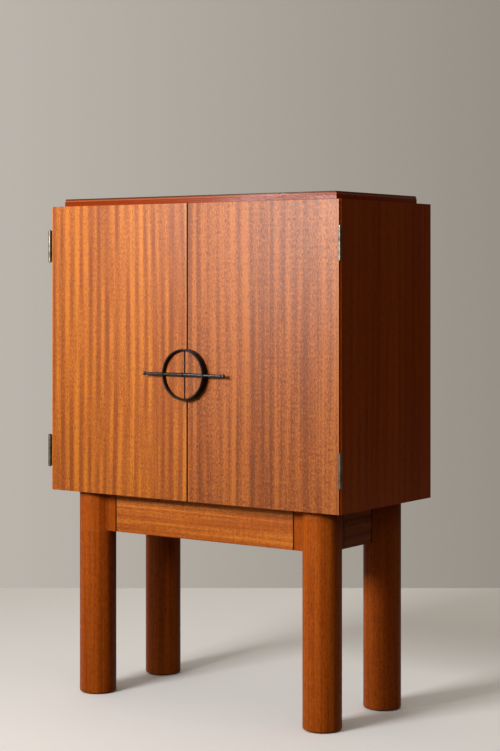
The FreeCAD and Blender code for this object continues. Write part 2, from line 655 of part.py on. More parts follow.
def apron_tenons():
    """The eight loose tenons."""
    pieces = []
    for start, end in apron_runs().values():
        half_run = (end - start).Length / 2 - EAR_REACH
        pieces += [laid(placed(tenon(0), V(x, 0, APRON_MIDDLE)), start, end) for x in (-half_run, half_run)]
    return group(pieces)


def leg_glides():
    """Glides let into the feet."""
    glide = bar(V(0, 0, 0), V(0, 0, 1), GLIDE_DIAMETER / 2, GLIDE_THICKNESS)
    rim = [e for e in glide.Edges if len(e.Vertexes) == 1 and same(e.Vertexes[0].Z, 0)]
    glide = glide.makeChamfer(GLIDE_PROUD / 2, rim)
    return group([placed(glide, V(x, y, 0)) for x, y, _ in leg_places()])


def leg_bolts():
    """Socket-head bolts down through the case floor."""
    under = INNER_BOTTOM - BOLT_HEAD_HEIGHT - BOLT_HEAD_SINK
    head = bar(V(0, 0, under), V(0, 0, 1), BOLT_HEAD_DIAMETER / 2, BOLT_HEAD_HEIGHT)
    shank = bar(V(0, 0, under), V(0, 0, -1), BOLT_DIAMETER / 2, under - BOTTOM + BOLT_INTO_LEG)
    corner = BOLT_SOCKET / math.sqrt(3)
    hexagon = [V(corner * math.cos(a), corner * math.sin(a), under + BOLT_HEAD_HEIGHT / 3)
               for a in (math.radians(60 * i) for i in range(6))]
    bolt = head.fuse(shank).cut(prism(hexagon, V(0, 0, BOLT_HEAD_HEIGHT)))
    return group([placed(bolt, V(x, y, 0)) for x, y, _ in leg_places()])


def leg_inserts():
    """Brass inserts in the leg heads."""
    tube = bar(V(0, 0, BOTTOM), V(0, 0, -1), INSERT_DIAMETER / 2, INSERT_LENGTH)
    tube = tube.cut(bar(V(0, 0, BOTTOM), V(0, 0, -1), BOLT_DIAMETER / 2 + SEAT_FIT, INSERT_LENGTH))
    return group([placed(tube, V(x, y, 0)) for x, y, _ in leg_places()])


def half_space():
    """Everything to the right of the cut between the halves of the pull."""
    return box(CUT_X, FAR, -FAR, FAR, -FAR, FAR)


def hoop_body(fit):
    """The right half of the hoop, turned round the pull's middle, let into the door at its back."""
    outer = HOOP_DIAMETER / 2 + fit
    inner = HOOP_DIAMETER / 2 - HOOP_WALL - fit
    rim = FRONT - HOOP_PROUD
    root = FRONT + HOOP_SEAT
    outer_edge = [V(outer, root, 0), V(outer, rim + HOOP_EDGE, 0), V(outer - HOOP_EDGE, rim, 0)]
    inner_edge = [V(inner + HOOP_EDGE, rim, 0), V(inner, rim + HOOP_EDGE, 0)]
    outline = [V(inner, root, 0)] + outer_edge + inner_edge
    ring = Part.Face(Part.makePolygon(outline + outline[:1])).revolve(V(0, 0, 0), V(0, 1, 0), 360)
    return placed(ring, V(0, 0, PULL_Z))


def rod_radius(x):
    """The rod's radius at a distance from the middle, between the collar and the neck."""
    start = CUT_X + ROD_COLLAR_LENGTH
    end = ROD_HALF_LENGTH - 2 * ROD_BALL_RADIUS - ROD_NECK_LENGTH
    return ROD_RADIUS + (ROD_END_RADIUS - ROD_RADIUS) * (x - start) / (end - start)


def half_hoop():
    """Right half of the hoop, pierced for the rod."""
    radius = rod_radius(HOOP_DIAMETER / 2 - HOOP_WALL) + SEAT_FIT
    hole = bar(V(0, ROD_Y, PULL_Z), V(1, 0, 0), radius, HOOP_DIAMETER)
    return hoop_body(0).common(half_space()).cut(hole)


def half_disc():
    """Right half of the raised disc inside the hoop."""
    radius = HOOP_DIAMETER / 2 - HOOP_WALL - SEAT_FIT
    disc = bar(V(0, FRONT, PULL_Z), V(0, -1, 0), radius, DISC_PROUD)
    face = [e for e in disc.Edges if len(e.Vertexes) == 1 and same(e.Vertexes[0].Y, FRONT - DISC_PROUD)]
    return disc.makeChamfer(DISC_EDGE, face).common(half_space()).cut(pull_screw_holes())


def half_rod():
    """Right half of the rod: collar beside the cut, taper, neck and ball."""
    ball = ROD_HALF_LENGTH - ROD_BALL_RADIUS
    root = ball - math.sqrt(ROD_BALL_RADIUS ** 2 - ROD_NECK_RADIUS ** 2)
    neck = root - ROD_NECK_LENGTH
    collar = ROD_RADIUS + ROD_COLLAR_PROUD
    collar_end = CUT_X + ROD_COLLAR_LENGTH
    points = [V(ROD_HALF_LENGTH, 0, 0), V(CUT_X, 0, 0), V(CUT_X, collar, 0), V(collar_end, collar, 0),
              V(collar_end, ROD_RADIUS, 0), V(neck, rod_radius(neck), 0), V(neck, ROD_NECK_RADIUS, 0),
              V(root, ROD_NECK_RADIUS, 0)]
    edges = [Part.makeLine(a, b) for a, b in zip(points, points[1:])]
    edges.append(Part.Arc(points[-1], V(ball, ROD_BALL_RADIUS, 0), points[0]).toShape())
    rod = Part.Face(Part.Wire(edges)).revolve(V(0, 0, 0), V(1, 0, 0), 360)
    return placed(rod, V(0, ROD_Y, PULL_Z)).cut(pull_screw_holes())


def pull_screw_runs():
    """Places and lengths of the screws that hold the pull from inside the right door."""
    into_rod = DOOR_BACK - ROD_Y - rod_radius(ROD_SCREW_OUT) + ROD_SCREW_GRIP
    runs = [(V(ROD_SCREW_OUT, DOOR_BACK, PULL_Z), into_rod)]
    for rise in (-DISC_SCREW_RISE, DISC_SCREW_RISE):
        runs.append((V(DISC_SCREW_OUT, DOOR_BACK, PULL_Z + rise), PANEL + DISC_SCREW_GRIP))
    return runs


def pull_screw_holes():
    """Holes for those screws."""
    radius = PULL_SCREW_SHANK / 2 + SEAT_FIT
    return [bar(at, V(0, -1, 0), radius, length + SEAT_FIT) for at, length in pull_screw_runs()]


def pull_screws():
    """Pan-head screws of the right half of the pull."""
    wide = PULL_SCREW_HEAD / 2
    half_height = PULL_SCREW_HEAD_HEIGHT / 2
    slot = PULL_SCREW_SHANK / 6
    pieces = []
    for at, length in pull_screw_runs():
        middle = at + V(0, half_height, 0)
        shank = bar(at, V(0, -1, 0), PULL_SCREW_SHANK / 2, length)
        crown = Part.makeCone(wide, wide - half_height, half_height, middle, V(0, 1, 0))
        head = bar(at, V(0, 1, 0), wide, half_height).fuse([crown, shank])
        groove = box(at.x - wide, at.x + wide, middle.y, FAR, at.z - slot, at.z + slot)
        pieces.append(head.cut(groove))
    return group(pieces)


def plain_door():
    """Right door with the pull, hinges and strikes let in."""
    door = box(CUT_X, HALF, FRONT, DOOR_BACK, BOTTOM, TOP).cut(mitre_tool(False))
    door = rounded(door, DOOR_ARRIS, lambda p: same(p.y, FRONT))
    tools = hinge_pockets(1) + pull_screw_holes() + [hoop_body(SEAT_FIT)]
    tools += catch_bars(DOOR_BACK - STRIKE_DEPTH, STRIKE_DIAMETER / 2 + SEAT_FIT, FAR, 1)
    return door.cut(tools)


def bracket_screw_places():
    """Undersides of the heads of the screws that hold the fold-out shelf's fittings to the door."""
    y = DOOR_BACK + BRACKET_SCREW_WOOD
    spread = (-CHEEK_SCREW_SPREAD, CHEEK_SCREW_SPREAD)
    cheeks = [V(x + CHEEK_THICKNESS / 2, y, PIVOT_Z + rise) for x in CHEEK_XS for rise in spread]
    rail_xs = (FOLD_X0 + RAIL_SCREW_FROM_END, FOLD_X1 - RAIL_SCREW_FROM_END)
    rail = [V(x, y, RAIL_LOW + RAIL_HEIGHT / 2) for x in rail_xs]
    block = [V(FOLD_X + out, y, STOW_Z) for out in (-STOW_SCREW_SPREAD, STOW_SCREW_SPREAD)]
    return cheeks + rail + block


def bracket_screws(make):
    """Those screws, or their holes."""
    length = BRACKET_SCREW_WOOD + BRACKET_SCREW_GRIP
    piece = turned(make(BRACKET_SCREW_HEAD, BRACKET_SCREW_SHANK, length), V(0, -1, 0))
    return [placed(piece, at) for at in bracket_screw_places()]


def bracket_holes():
    """Holes of the fittings' screws, with counterbores open towards the inside of the case."""
    radius = BRACKET_SCREW_HEAD / 2 + SEAT_FIT
    wells = [bar(at, V(0, 1, 0), radius, CHEEK_FACE - at.y) for at in bracket_screw_places()]
    return bracket_screws(screw_hole) + wells


def right_door():
    """Right door, also bored for the fold-out shelf's fittings."""
    return plain_door().cut(bracket_screws(screw_hole))


def pivot_bar(x, hand, radius, length):
    """A round bar or hole on the fold-out shelf's pivot line."""
    return bar(V(x, PIVOT_Y, PIVOT_Z), V(hand, 0, 0), radius, length)


def cheek(x, hand):
    """A bracket that carries one end of the fold-out shelf; hand points from the cheek to the shelf."""
    low = PIVOT_Z - CHEEK_BELOW
    high = PIVOT_Z + CHEEK_ABOVE
    solid = box(x, x + CHEEK_THICKNESS, DOOR_BACK, CHEEK_FACE, low, high)
    for level in (low, high):
        solid = rounded(solid, CHEEK_ROUND, lambda p: same(p.y, CHEEK_FACE) and same(p.z, level))
    face = x + CHEEK_THICKNESS if hand > 0 else x
    hole = pivot_bar(face, -hand, PIVOT_DIAMETER / 2 + SEAT_FIT, PIVOT_REACH)
    return solid.cut(bracket_holes() + [hole])


def stop_rail():
    """Rail between the cheeks: the shelf's tail comes up under it when the shelf lies open."""
    start = CHEEK_XS[0] + CHEEK_THICKNESS
    rail = box(start, CHEEK_XS[1], DOOR_BACK, STOP_FACE, RAIL_LOW, RAIL_LOW + RAIL_HEIGHT)
    return rail.cut(bracket_holes())


def stow_bar(y, along, radius, depth):
    """A round magnet, strike or seat on the line of the stow catch."""
    return bar(V(FOLD_X, y, STOW_Z), V(0, along, 0), radius, depth)


def stow_block():
    """Block that the stowed shelf leans on, with a magnet let in."""
    low = STOW_Z - STOW_HEIGHT / 2
    left = FOLD_X - STOW_WIDTH / 2
    block = box(left, left + STOW_WIDTH, DOOR_BACK, STOP_FACE, low, low + STOW_HEIGHT)
    seat = stow_bar(STOP_FACE, -1, STOW_MAGNET_DIAMETER / 2 + SEAT_FIT, STOW_MAGNET_DEPTH)
    return block.cut(bracket_holes() + [seat])


def pivot_pins():
    """Pins pressed into the cheeks, reaching into the shelf's bushes."""
    length = PIVOT_REACH - SEAT_FIT + FOLD_SIDE_GAP + PIVOT_REACH
    left = pivot_bar(CHEEK_XS[0] + CHEEK_THICKNESS - PIVOT_REACH + SEAT_FIT, 1, PIVOT_DIAMETER / 2, length)
    right = pivot_bar(CHEEK_XS[1] + PIVOT_REACH - SEAT_FIT, -1, PIVOT_DIAMETER / 2, length)
    return group([left, right])


def fold_shelf():
    """The fold-out shelf, standing up as stowed, with a finger notch in its free edge."""
    face = FOLD_DOOR_SIDE + FOLD_THICKNESS
    shelf = box(FOLD_X0, FOLD_X1, FOLD_DOOR_SIDE, face, PIVOT_Z - FOLD_TAIL, FOLD_TOP)
    shelf = rounded(shelf, FOLD_EDGE, lambda p: same(p.z, FOLD_TOP))
    notch = bar(V(FOLD_X, -FAR, FOLD_TOP), V(0, 1, 0), NOTCH_RADIUS, 2 * FAR)
    seat = stow_bar(FOLD_DOOR_SIDE, 1, STRIKE_DIAMETER / 2 + SEAT_FIT, STRIKE_DEPTH)
    tools = [notch, seat]
    for x, hand in ((FOLD_X0, 1), (FOLD_X1, -1)):
        tools.append(pivot_bar(x, hand, BUSH_RADIUS + SEAT_FIT, PIVOT_REACH + MOVE_GAP))
    return shelf.cut(tools)


def pivot_bushes():
    """Brass bushes in the ends of the fold-out shelf."""
    pieces = []
    for x, hand in ((FOLD_X0, 1), (FOLD_X1, -1)):
        tube = pivot_bar(x, hand, BUSH_RADIUS, PIVOT_REACH + MOVE_GAP)
        pieces.append(tube.cut(pivot_bar(x, hand, PIVOT_DIAMETER / 2 + RUN_FIT, PIVOT_REACH + MOVE_GAP)))
    return group(pieces)


def main():
    """Builds every piece and writes it under its name."""
    pieces = {}
    side = right_side()
    pieces["right_side"] = side
    pieces["left_side"] = mirrored(side)
    pieces["case_top"] = case_top()
    pieces["case_bottom"] = case_bottom()
    pieces["back_panel"] = back_panel()
    pieces["top_slab"] = top_slab()
    pieces["case_splines"] = group(splines(0))
    pieces["back_screws"] = group(back_screws(screw))
    pieces["slab_screws"] = group(slab_screws(screw))
    pieces["fixed_shelf"] = fixed_shelf()
    pieces["loose_shelf"] = loose_shelf()
    pieces["shelf_supports"] = group([shelf_support(hand, y) for hand in (-1, 1) for y in SUPPORT_YS])

    for name, place in zip(("front_left", "front_right", "back_right", "back_left"), leg_places()):
        pieces[name + "_leg"] = leg(*place)
    for name, ends in apron_runs().items():
        pieces[name + "_apron"] = apron(*ends)
    pieces["apron_tenons"] = apron_tenons()
    pieces["leg_glides"] = leg_glides()
    pieces["leg_bolts"] = leg_bolts()
    pieces["leg_inserts"] = leg_inserts()

    pins = []
    case_screws = []
    door_screws = []
    for place, level in HINGE_STARTS.items():
        case_leaf = at_corner(hinge_leaf(-1), level)
        door_leaf = at_corner(hinge_leaf(1), level)
        pieces["right_" + place + "_case_leaf"] = case_leaf
        pieces["left_" + place + "_case_leaf"] = mirrored(case_leaf)
        pieces["right_" + place + "_door_leaf"] = door_leaf
        pieces["left_" + place + "_door_leaf"] = mirrored(door_leaf)
        pins.append(at_corner(hinge_pin(), level))
        case_screws += [at_corner(s, level) for s in leaf_screws(screw, -1)]
        door_screws += [at_corner(s, level) for s in leaf_screws(screw, 1)]
    pieces["hinge_pins"] = group(pins + [mirrored(p) for p in pins])
    pieces["case_hinge_screws"] = group(case_screws + [mirrored(s) for s in case_screws])

    magnets = catch_bars(CASE_FRONT, MAGNET_DIAMETER / 2, MAGNET_DEPTH, 1)
    strikes = catch_bars(DOOR_BACK - STRIKE_DEPTH, STRIKE_DIAMETER / 2, STRIKE_DEPTH, 1)
    pieces["door_magnets"] = group(magnets + [mirrored(m) for m in magnets])
    pieces["right_door"] = right_door()
    pieces["left_door"] = mirrored(plain_door())
    right_hand = {
        "door_hinge_screws": group(door_screws),
        "door_strikes": group(strikes),
        "hoop": half_hoop(),
        "rod": half_rod(),
        "disc": half_disc(),
        "pull_screws": pull_screws(),
    }
    for name, piece in right_hand.items():
        pieces["right_" + name] = piece
        pieces["left_" + name] = mirrored(piece)

    pieces["fold_shelf"] = fold_shelf()
    pieces["fold_shelf_bushes"] = pivot_bushes()
    pieces["fold_shelf_strike"] = stow_bar(FOLD_DOOR_SIDE, 1, STRIKE_DIAMETER / 2, STRIKE_DEPTH)
    pieces["fold_shelf_pins"] = pivot_pins()
    pieces["fold_shelf_left_cheek"] = cheek(CHEEK_XS[0], 1)
    pieces["fold_shelf_right_cheek"] = cheek(CHEEK_XS[1], -1)
    pieces["stop_rail"] = stop_rail()
    pieces["stow_block"] = stow_block()
    pieces["stow_magnet"] = stow_bar(STOP_FACE, -1, STOW_MAGNET_DIAMETER / 2, STOW_MAGNET_DEPTH)
    pieces["bracket_screws"] = group(bracket_screws(screw))

    os.makedirs("parts", exist_ok=True)
    for name, piece in pieces.items():
        piece.exportStep("parts/" + name + ".step")
    print(len(pieces), "pieces,", sum(len(p.Solids) for p in pieces.values()), "solids")


main()
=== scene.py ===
import math

import bmesh
import bpy
import numpy as np
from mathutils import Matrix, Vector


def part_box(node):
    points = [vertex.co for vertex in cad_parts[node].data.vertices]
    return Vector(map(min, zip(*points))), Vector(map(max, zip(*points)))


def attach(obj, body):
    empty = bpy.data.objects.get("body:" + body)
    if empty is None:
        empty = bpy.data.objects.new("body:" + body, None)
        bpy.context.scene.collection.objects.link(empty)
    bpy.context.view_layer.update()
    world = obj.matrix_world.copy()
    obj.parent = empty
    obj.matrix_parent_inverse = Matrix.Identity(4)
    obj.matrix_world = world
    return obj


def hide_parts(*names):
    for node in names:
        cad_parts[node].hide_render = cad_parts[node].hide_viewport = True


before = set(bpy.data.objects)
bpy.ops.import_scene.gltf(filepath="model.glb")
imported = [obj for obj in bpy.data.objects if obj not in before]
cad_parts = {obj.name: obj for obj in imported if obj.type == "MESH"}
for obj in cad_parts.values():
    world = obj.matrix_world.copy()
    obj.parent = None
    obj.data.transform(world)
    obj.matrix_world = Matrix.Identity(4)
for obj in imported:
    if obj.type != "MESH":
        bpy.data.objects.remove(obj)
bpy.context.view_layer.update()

bl_info = {
    "name": "Bar cabinet",
    "version": (1, 0, 0),
    "blender": (4, 5, 0),
    "location": "View3D > Sidebar > Cabinet",
    "description": "Dresses a bar cabinet on round legs: veneer, turned legs, hoop pull, hinges and a studio",
    "category": "Object",
}

# Corners of the solids that the drawn pieces follow
LEG_LOW, LEG_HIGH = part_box("front_left_leg")
APRON_LOW, APRON_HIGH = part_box("front_apron")
SLAB_LOW, SLAB_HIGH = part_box("top_slab")
HOOP_LOW, HOOP_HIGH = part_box("right_hoop")
DISC_LOW, DISC_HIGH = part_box("right_disc")
ROD_LOW, ROD_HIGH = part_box("right_rod")
DOOR_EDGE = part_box("right_door")[1].x

# Quarter turns that bring the front left leg's plan to each leg
LEG_TURNS = {"front_left_leg": 0, "front_right_leg": 1, "back_right_leg": 2, "back_left_leg": 3}
QUARTERS = ((1, 0), (0, 1), (-1, 0), (0, -1))

# How close two points are one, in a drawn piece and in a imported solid, and the bend of a sharp edge
MERGE = 1e-7
WELD = 1e-6
SHARP = math.radians(32)

# Points along each curve of the drawn pieces
POINTS = {
    "ear_end": 6, "ear_side": 5, "cove": 9, "leg_inside": 14, "leg_outside": 72, "foot": 9, "shaft": 12,
    "rail_corner": 5, "slab_corner": 5, "slab_round": 9,
    "hoop_corner": 6, "hoop": 121, "disc_face": 12, "disc_edge": 5, "disc_back": 4, "disc": 97,
    "rod_taper": 6, "rod_ball": 14, "rod": 32,
}

# The wear attribute holds real wear and painted light: 0 on the plain finish, RUBBED_AND_HIGHLIT on a rubbed
# arris or a painted highlight line, going on to DARK for painted shade in a groove or along the slab's arris,
# and down to DULL on a face without gloss
RUBBED_AND_HIGHLIT = 1.0
DARK = 2.0
DULL = -1.0

# Wear of a leg's head, from the arris under the ears to its top
HEAD_WEAR = (0.3, 0.5, 0.0, 0.0)

# How far out from the shaft the ears' lower arris reaches its full softening, in arrises
EAR_EASE = 3.0

# Painted lines along the slab's edge, as shares of the leaning part: a painted highlight line, the start of a
# painted shade line that runs up over the arris, and how far each fades, then the shade line's value as a
# share of DARK
HIGHLIGHT_LINE = (0.30, 0.50)
SHADE_LINE = 0.70
LINE_FADE = 0.08
SHADE_LINE_FADE = 0.04
SHADE_LINE_DEPTH = 0.9

# The rod's small chamfers, as a share of its end radius
ROD_EASE = 0.1


def length(name, description, default):
    """A length property in metres."""
    return bpy.props.FloatProperty(name=name, description=description, default=default, min=0.0,
                                   unit="LENGTH", precision=5)


def colour(name, description, default):
    """A colour property in linear light."""
    return bpy.props.FloatVectorProperty(name=name, description=description, default=default, size=3,
                                         min=0.0, max=1.0, subtype="COLOR")


class CabinetSizes(bpy.types.PropertyGroup):
    """Sizes of the pieces that are drawn here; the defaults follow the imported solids."""

    leg_radius: length("Leg radius", "Half the thickness of a round leg", 0.045)
    ear_cove: length("Ear cove", "Radius of the hollow between a leg and its ears", 0.014)
    apron_thickness: length("Apron thickness", "Thickness of the aprons and ears", APRON_HIGH.y - APRON_LOW.y)
    joint_groove: length("Joint groove", "Width of the groove on each side of an apron's joint line", 0.0012)
    groove_depth: length("Groove depth", "Depth of that groove", 0.003)
    foot_round: length("Foot rounding", "Radius of the lower edge of a leg", 0.004)
    arris: length("Arris", "Softening of the long edges of the base", 0.0008)
    slab_lean: length("Slab lean", "How far the upper part of the slab's edge leans in", 0.0016)
    slab_lean_height: length("Slab lean height", "Height of the leaning part", 0.009)
    slab_round: length("Slab rounding", "Radius of the slab's upper arris", 0.0015)
    slab_corner: length("Slab corner", "Softening of the slab's upright corners", 0.0006)
    hoop_wall: length("Hoop wall", "Thickness of the hoop", 0.0035)
    hoop_edge: length("Hoop edge", "Rounding of the hoop's rim", 0.0007)
    disc_edge: length("Disc edge", "Rounding of the raised disc's rim", 0.0008)
    rod_radius: length("Rod radius", "Radius of the rod beside its collar", 0.0045)
    rod_end_radius: length("Rod end radius", "Radius of the rod at its neck", 0.0035)
    rod_neck_radius: length("Rod neck radius", "Radius of the neck inside the ball", 0.0023)
    rod_neck: length("Rod neck", "Length of the neck", 0.002)
    rod_ball: length("Rod ball", "Radius of the ball at the rod's tip", 0.0048)
    rod_collar: length("Rod collar", "Length of the collar beside the cut", 0.004)
    floor_back: length("Floor back", "Distance from the cabinet to the floor's far edge", 1.58)
    floor_reach: length("Floor reach", "How far the floor runs to the sides and to the front", 14.0)


class CabinetColours(bpy.types.PropertyGroup):
    """Colours of the finishes."""

    left_dark: colour("Left door dark", "Dark ribbons of the left door", (0.198, 0.039, 0.0026))
    left_mid: colour("Left door", "Ground of the left door", (0.31, 0.0745, 0.0042))
    left_light: colour("Left door light", "Light ribbons of the left door", (0.465, 0.135, 0.0085))
    right_dark: colour("Right door dark", "Dark ribbons of the right door", (0.147, 0.0333, 0.0053))
    right_mid: colour("Right door", "Ground of the right door", (0.249, 0.058, 0.0075))
    right_light: colour("Right door light", "Light ribbons of the right door", (0.38, 0.105, 0.0143))
    case_dark: colour("Case dark", "Dark ribbons of the sides", (0.23, 0.0314, 0.0016))
    case_mid: colour("Case", "Ground of the sides", (0.324, 0.0496, 0.0027))
    case_light: colour("Case light", "Light ribbons of the sides", (0.405, 0.0684, 0.0043))
    leg_dark: colour("Leg dark", "Dark streaks of the legs", (0.194, 0.0301, 0.0015))
    leg_mid: colour("Leg", "Ground of the legs", (0.302, 0.0551, 0.003))
    leg_light: colour("Leg light", "Light streaks of the legs", (0.417, 0.0919, 0.006))
    apron_dark: colour("Apron dark", "Dark streaks of the aprons", (0.2, 0.034, 0.003))
    apron_mid: colour("Apron", "Ground of the aprons", (0.35, 0.08, 0.0075))
    apron_light: colour("Apron light", "Light streaks of the aprons", (0.62, 0.19, 0.024))
    slab_dark: colour("Slab dark", "Dark streaks of the slab", (0.135, 0.012, 0.0003))
    slab_mid: colour("Slab", "Ground of the slab", (0.18, 0.0185, 0.0005))
    # The slab's light tone is also the colour of its painted highlight line
    slab_light: colour("Slab light", "Light streaks of the slab", (0.25, 0.075, 0.03))
    pore: colour("Pores", "Pores of the wood", (0.06, 0.016, 0.004))
    # Painted shade: joint grooves, the gap between the doors and a line along the slab's upper arris
    shade: colour("Shade", "Grooves, gaps and the dark line on the slab", (0.008, 0.003, 0.001))
    brass: colour("Hinge brass", "Rubbed brass of the hinges", (0.13, 0.108, 0.08))
    brass_dark: colour("Hinge patina", "Darkened brass of the hinges", (0.05, 0.04, 0.028))
    iron: colour("Iron", "Blackened iron of the pull", (0.004, 0.0037, 0.0036))
    iron_worn: colour("Worn iron", "Rubbed patches of the pull", (0.022, 0.021, 0.02))
    steel: colour("Steel", "Screws, bolts, magnets and strikes", (0.52, 0.51, 0.49))
    bright_brass: colour("Bright brass", "Bushes, pins, inserts and shelf supports", (0.70, 0.52, 0.26))
    felt: colour("Felt", "Glides under the legs", (0.05, 0.045, 0.04))
    floor: colour("Floor", "Plain pale floor", (0.88, 0.88, 0.895))


def arc(centre, radius, start, end, count):
    """Points on a circle about a centre, from a start angle to an end angle in degrees."""
    turn = np.radians(np.linspace(start, end, count))
    return np.stack([centre[0] + radius * np.cos(turn), centre[1] + radius * np.sin(turn)], -1)


def straight(first, last, count):
    """Points spread evenly between two points, both included."""
    share = np.linspace(0.0, 1.0, count)[:, None]
    return (1.0 - share) * np.asarray(first, float) + share * np.asarray(last, float)


def grid_quads(rows, cols, wrap):
    """Quads between neighbouring points of a grid, joined round from the last column where it wraps."""
    row, col = np.meshgrid(np.arange(rows - 1), np.arange(cols if wrap else cols - 1), indexing="ij")
    nxt = (col + 1) % cols
    corners = [row * cols + col, row * cols + nxt, (row + 1) * cols + nxt, (row + 1) * cols + col]
    return np.stack(corners, -1).reshape(-1, 4)


def surface(name, sheet, wear=0.0, wrap=True):
    """A mesh from a grid of points, joined round where it wraps, with wear and painted light for each row or
    point.
    """
    rows, cols = sheet.shape[:2]
    wear = np.asarray(wear, float)
    wear = np.broadcast_to(wear[:, None] if wear.ndim == 1 else wear, (rows, cols)).ravel()
    mesh = bpy.data.meshes.new(name)
    mesh.from_pydata(sheet.reshape(-1, 3).tolist(), [], grid_quads(rows, cols, wrap).tolist())
    mesh.attributes.new("wear", "FLOAT", "POINT").data.foreach_set("value", wear.astype(np.float32))
    work = bmesh.new()
    work.from_mesh(mesh)
    bmesh.ops.remove_doubles(work, verts=work.verts, dist=MERGE)
    bmesh.ops.dissolve_degenerate(work, edges=work.edges, dist=MERGE)
    bmesh.ops.recalc_face_normals(work, faces=work.faces)
    work.to_mesh(mesh)
    work.free()
    mesh.shade_smooth()
    mesh.set_sharp_from_angle(angle=SHARP)
    piece = bpy.data.objects.new(name, mesh)
    bpy.context.scene.collection.objects.link(piece)
    return piece


def dress(piece, material, body, slot, *nodes):
    """Gives a drawn piece its finish and the body it moves with, and hides the solids that it stands for."""
    piece.data.materials.append(material)
    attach(piece, body)
    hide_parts(*nodes)


def finish_node(node, material):
    """Gives a solid its finish, with round faces shaded smooth and true edges kept sharp."""
    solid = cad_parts[node]
    solid.data.shade_smooth()
    for place in solid.material_slots:
        place.material = material
    weld = solid.modifiers.new("weld", "WELD")
    weld.merge_threshold = WELD
    split = solid.modifiers.new("edges", "EDGE_SPLIT")
    split.split_angle = SHARP
    split.use_edge_sharp = False


def closed_ends(sheet):
    """A sheet with its first and last rows drawn in to their middles, which closes both ends."""
    first = np.broadcast_to(sheet[:1].mean(1, keepdims=True), sheet[:1].shape)
    last = np.broadcast_to(sheet[-1:].mean(1, keepdims=True), sheet[-1:].shape)
    return np.concatenate([first, sheet, last])


def rounded_ring(half_x, half_y, radius, steps):
    """Corner centres and outward directions of a rectangle with round corners.

    A point of the ring is its corner's centre plus the radius times its direction.
    """
    turn = np.radians(np.concatenate([np.linspace(q * 90, q * 90 + 90, steps) for q in range(4)]))
    direction = np.stack([np.cos(turn), np.sin(turn)], -1)
    sign = np.repeat(np.array([[1, 1], [-1, 1], [-1, -1], [1, -1]], float), steps, 0)
    centre = sign * np.array([half_x - radius, half_y - radius])
    return centre, direction


def ear_outline(sizes, reach):
    """Plan of a leg's head: a circle with an ear along X and one along Y, each joined by hollow coves.

    A cove's centre is one cove radius off the ear's side and off the circle, and the ear's end is thinner by
    the groove at the joint.
    """
    half = sizes.apron_thickness / 2
    cove = sizes.ear_cove
    radius = sizes.leg_radius
    cove_y = half + cove
    cove_x = math.sqrt((radius + cove) ** 2 - cove_y ** 2)
    touch = math.degrees(math.atan2(cove_y, cove_x))
    tip = reach - sizes.joint_groove
    edge = half - sizes.groove_depth
    upper = np.concatenate([
        straight((reach, 0.0), (reach, edge), POINTS["ear_end"]),
        [[tip, edge]],
        straight((tip, half), (cove_x, half), POINTS["ear_side"]),
        arc((cove_x, cove_y), cove, 270.0, 180.0 + touch, POINTS["cove"])[1:],
    ])
    ear_x = np.concatenate([upper[::-1] * np.array([1.0, -1.0]), upper[1:]])
    ear_y = ear_x[::-1, ::-1]
    inner = arc((0.0, 0.0), radius, touch, 90.0 - touch, POINTS["leg_inside"])[1:-1]
    outer = arc((0.0, 0.0), radius, 90.0 + touch, 360.0 - touch, POINTS["leg_outside"])[1:-1]
    return np.concatenate([ear_x, inner, ear_y, outer])


def leg_sheet(sizes, axis, quarter, foot, seat, head):
    """A leg as rings: a rounded foot, a round shaft, then the head's plan from the seat to the top.

    A ring of the shaft is the plan drawn in to a circle along its radii, and the foot is a quarter circle.
    """
    reach = LEG_HIGH.x - LEG_LOW.x - sizes.leg_radius
    plan = ear_outline(sizes, reach)
    out = np.linalg.norm(plan, axis=1, keepdims=True)
    circle = plan / out * sizes.leg_radius
    grown = np.clip((out - sizes.leg_radius) / (EAR_EASE * sizes.arris), 0.0, 1.0)
    eased = plan * (1.0 - grown * sizes.arris / out)
    turn = np.radians(np.linspace(0.0, 90.0, POINTS["foot"]))
    shrink = (sizes.leg_radius - sizes.foot_round * (1.0 - np.sin(turn))) / sizes.leg_radius
    rise = foot + sizes.foot_round * (1.0 - np.cos(turn))
    heights = np.linspace(rise[-1], seat, POINTS["shaft"])[1:]
    flat = np.stack([circle * s for s in shrink] + [circle] * len(heights) + [eased, plan, plan])
    levels = np.concatenate([rise, heights, [seat, seat + sizes.arris, head]])
    cos, sin = QUARTERS[quarter]
    x = axis[0] + flat[..., 0] * cos - flat[..., 1] * sin
    y = axis[1] + flat[..., 0] * sin + flat[..., 1] * cos
    z = np.broadcast_to(levels[:, None], x.shape)
    # Painted shade in the groove at the end of each ear
    groove = np.where(plan.max(1) > reach - sizes.joint_groove - sizes.arris, DARK, 0.0)
    shaft = np.concatenate([[RUBBED_AND_HIGHLIT], np.linspace(RUBBED_AND_HIGHLIT, 0.0, len(rise)), np.zeros(len(heights))])
    shaft = np.broadcast_to(shaft[:, None], (len(shaft), len(plan)))
    wear = np.concatenate([shaft, np.maximum(np.array(HEAD_WEAR)[:, None], groove)])
    return closed_ends(np.stack([x, y, z], -1)), wear


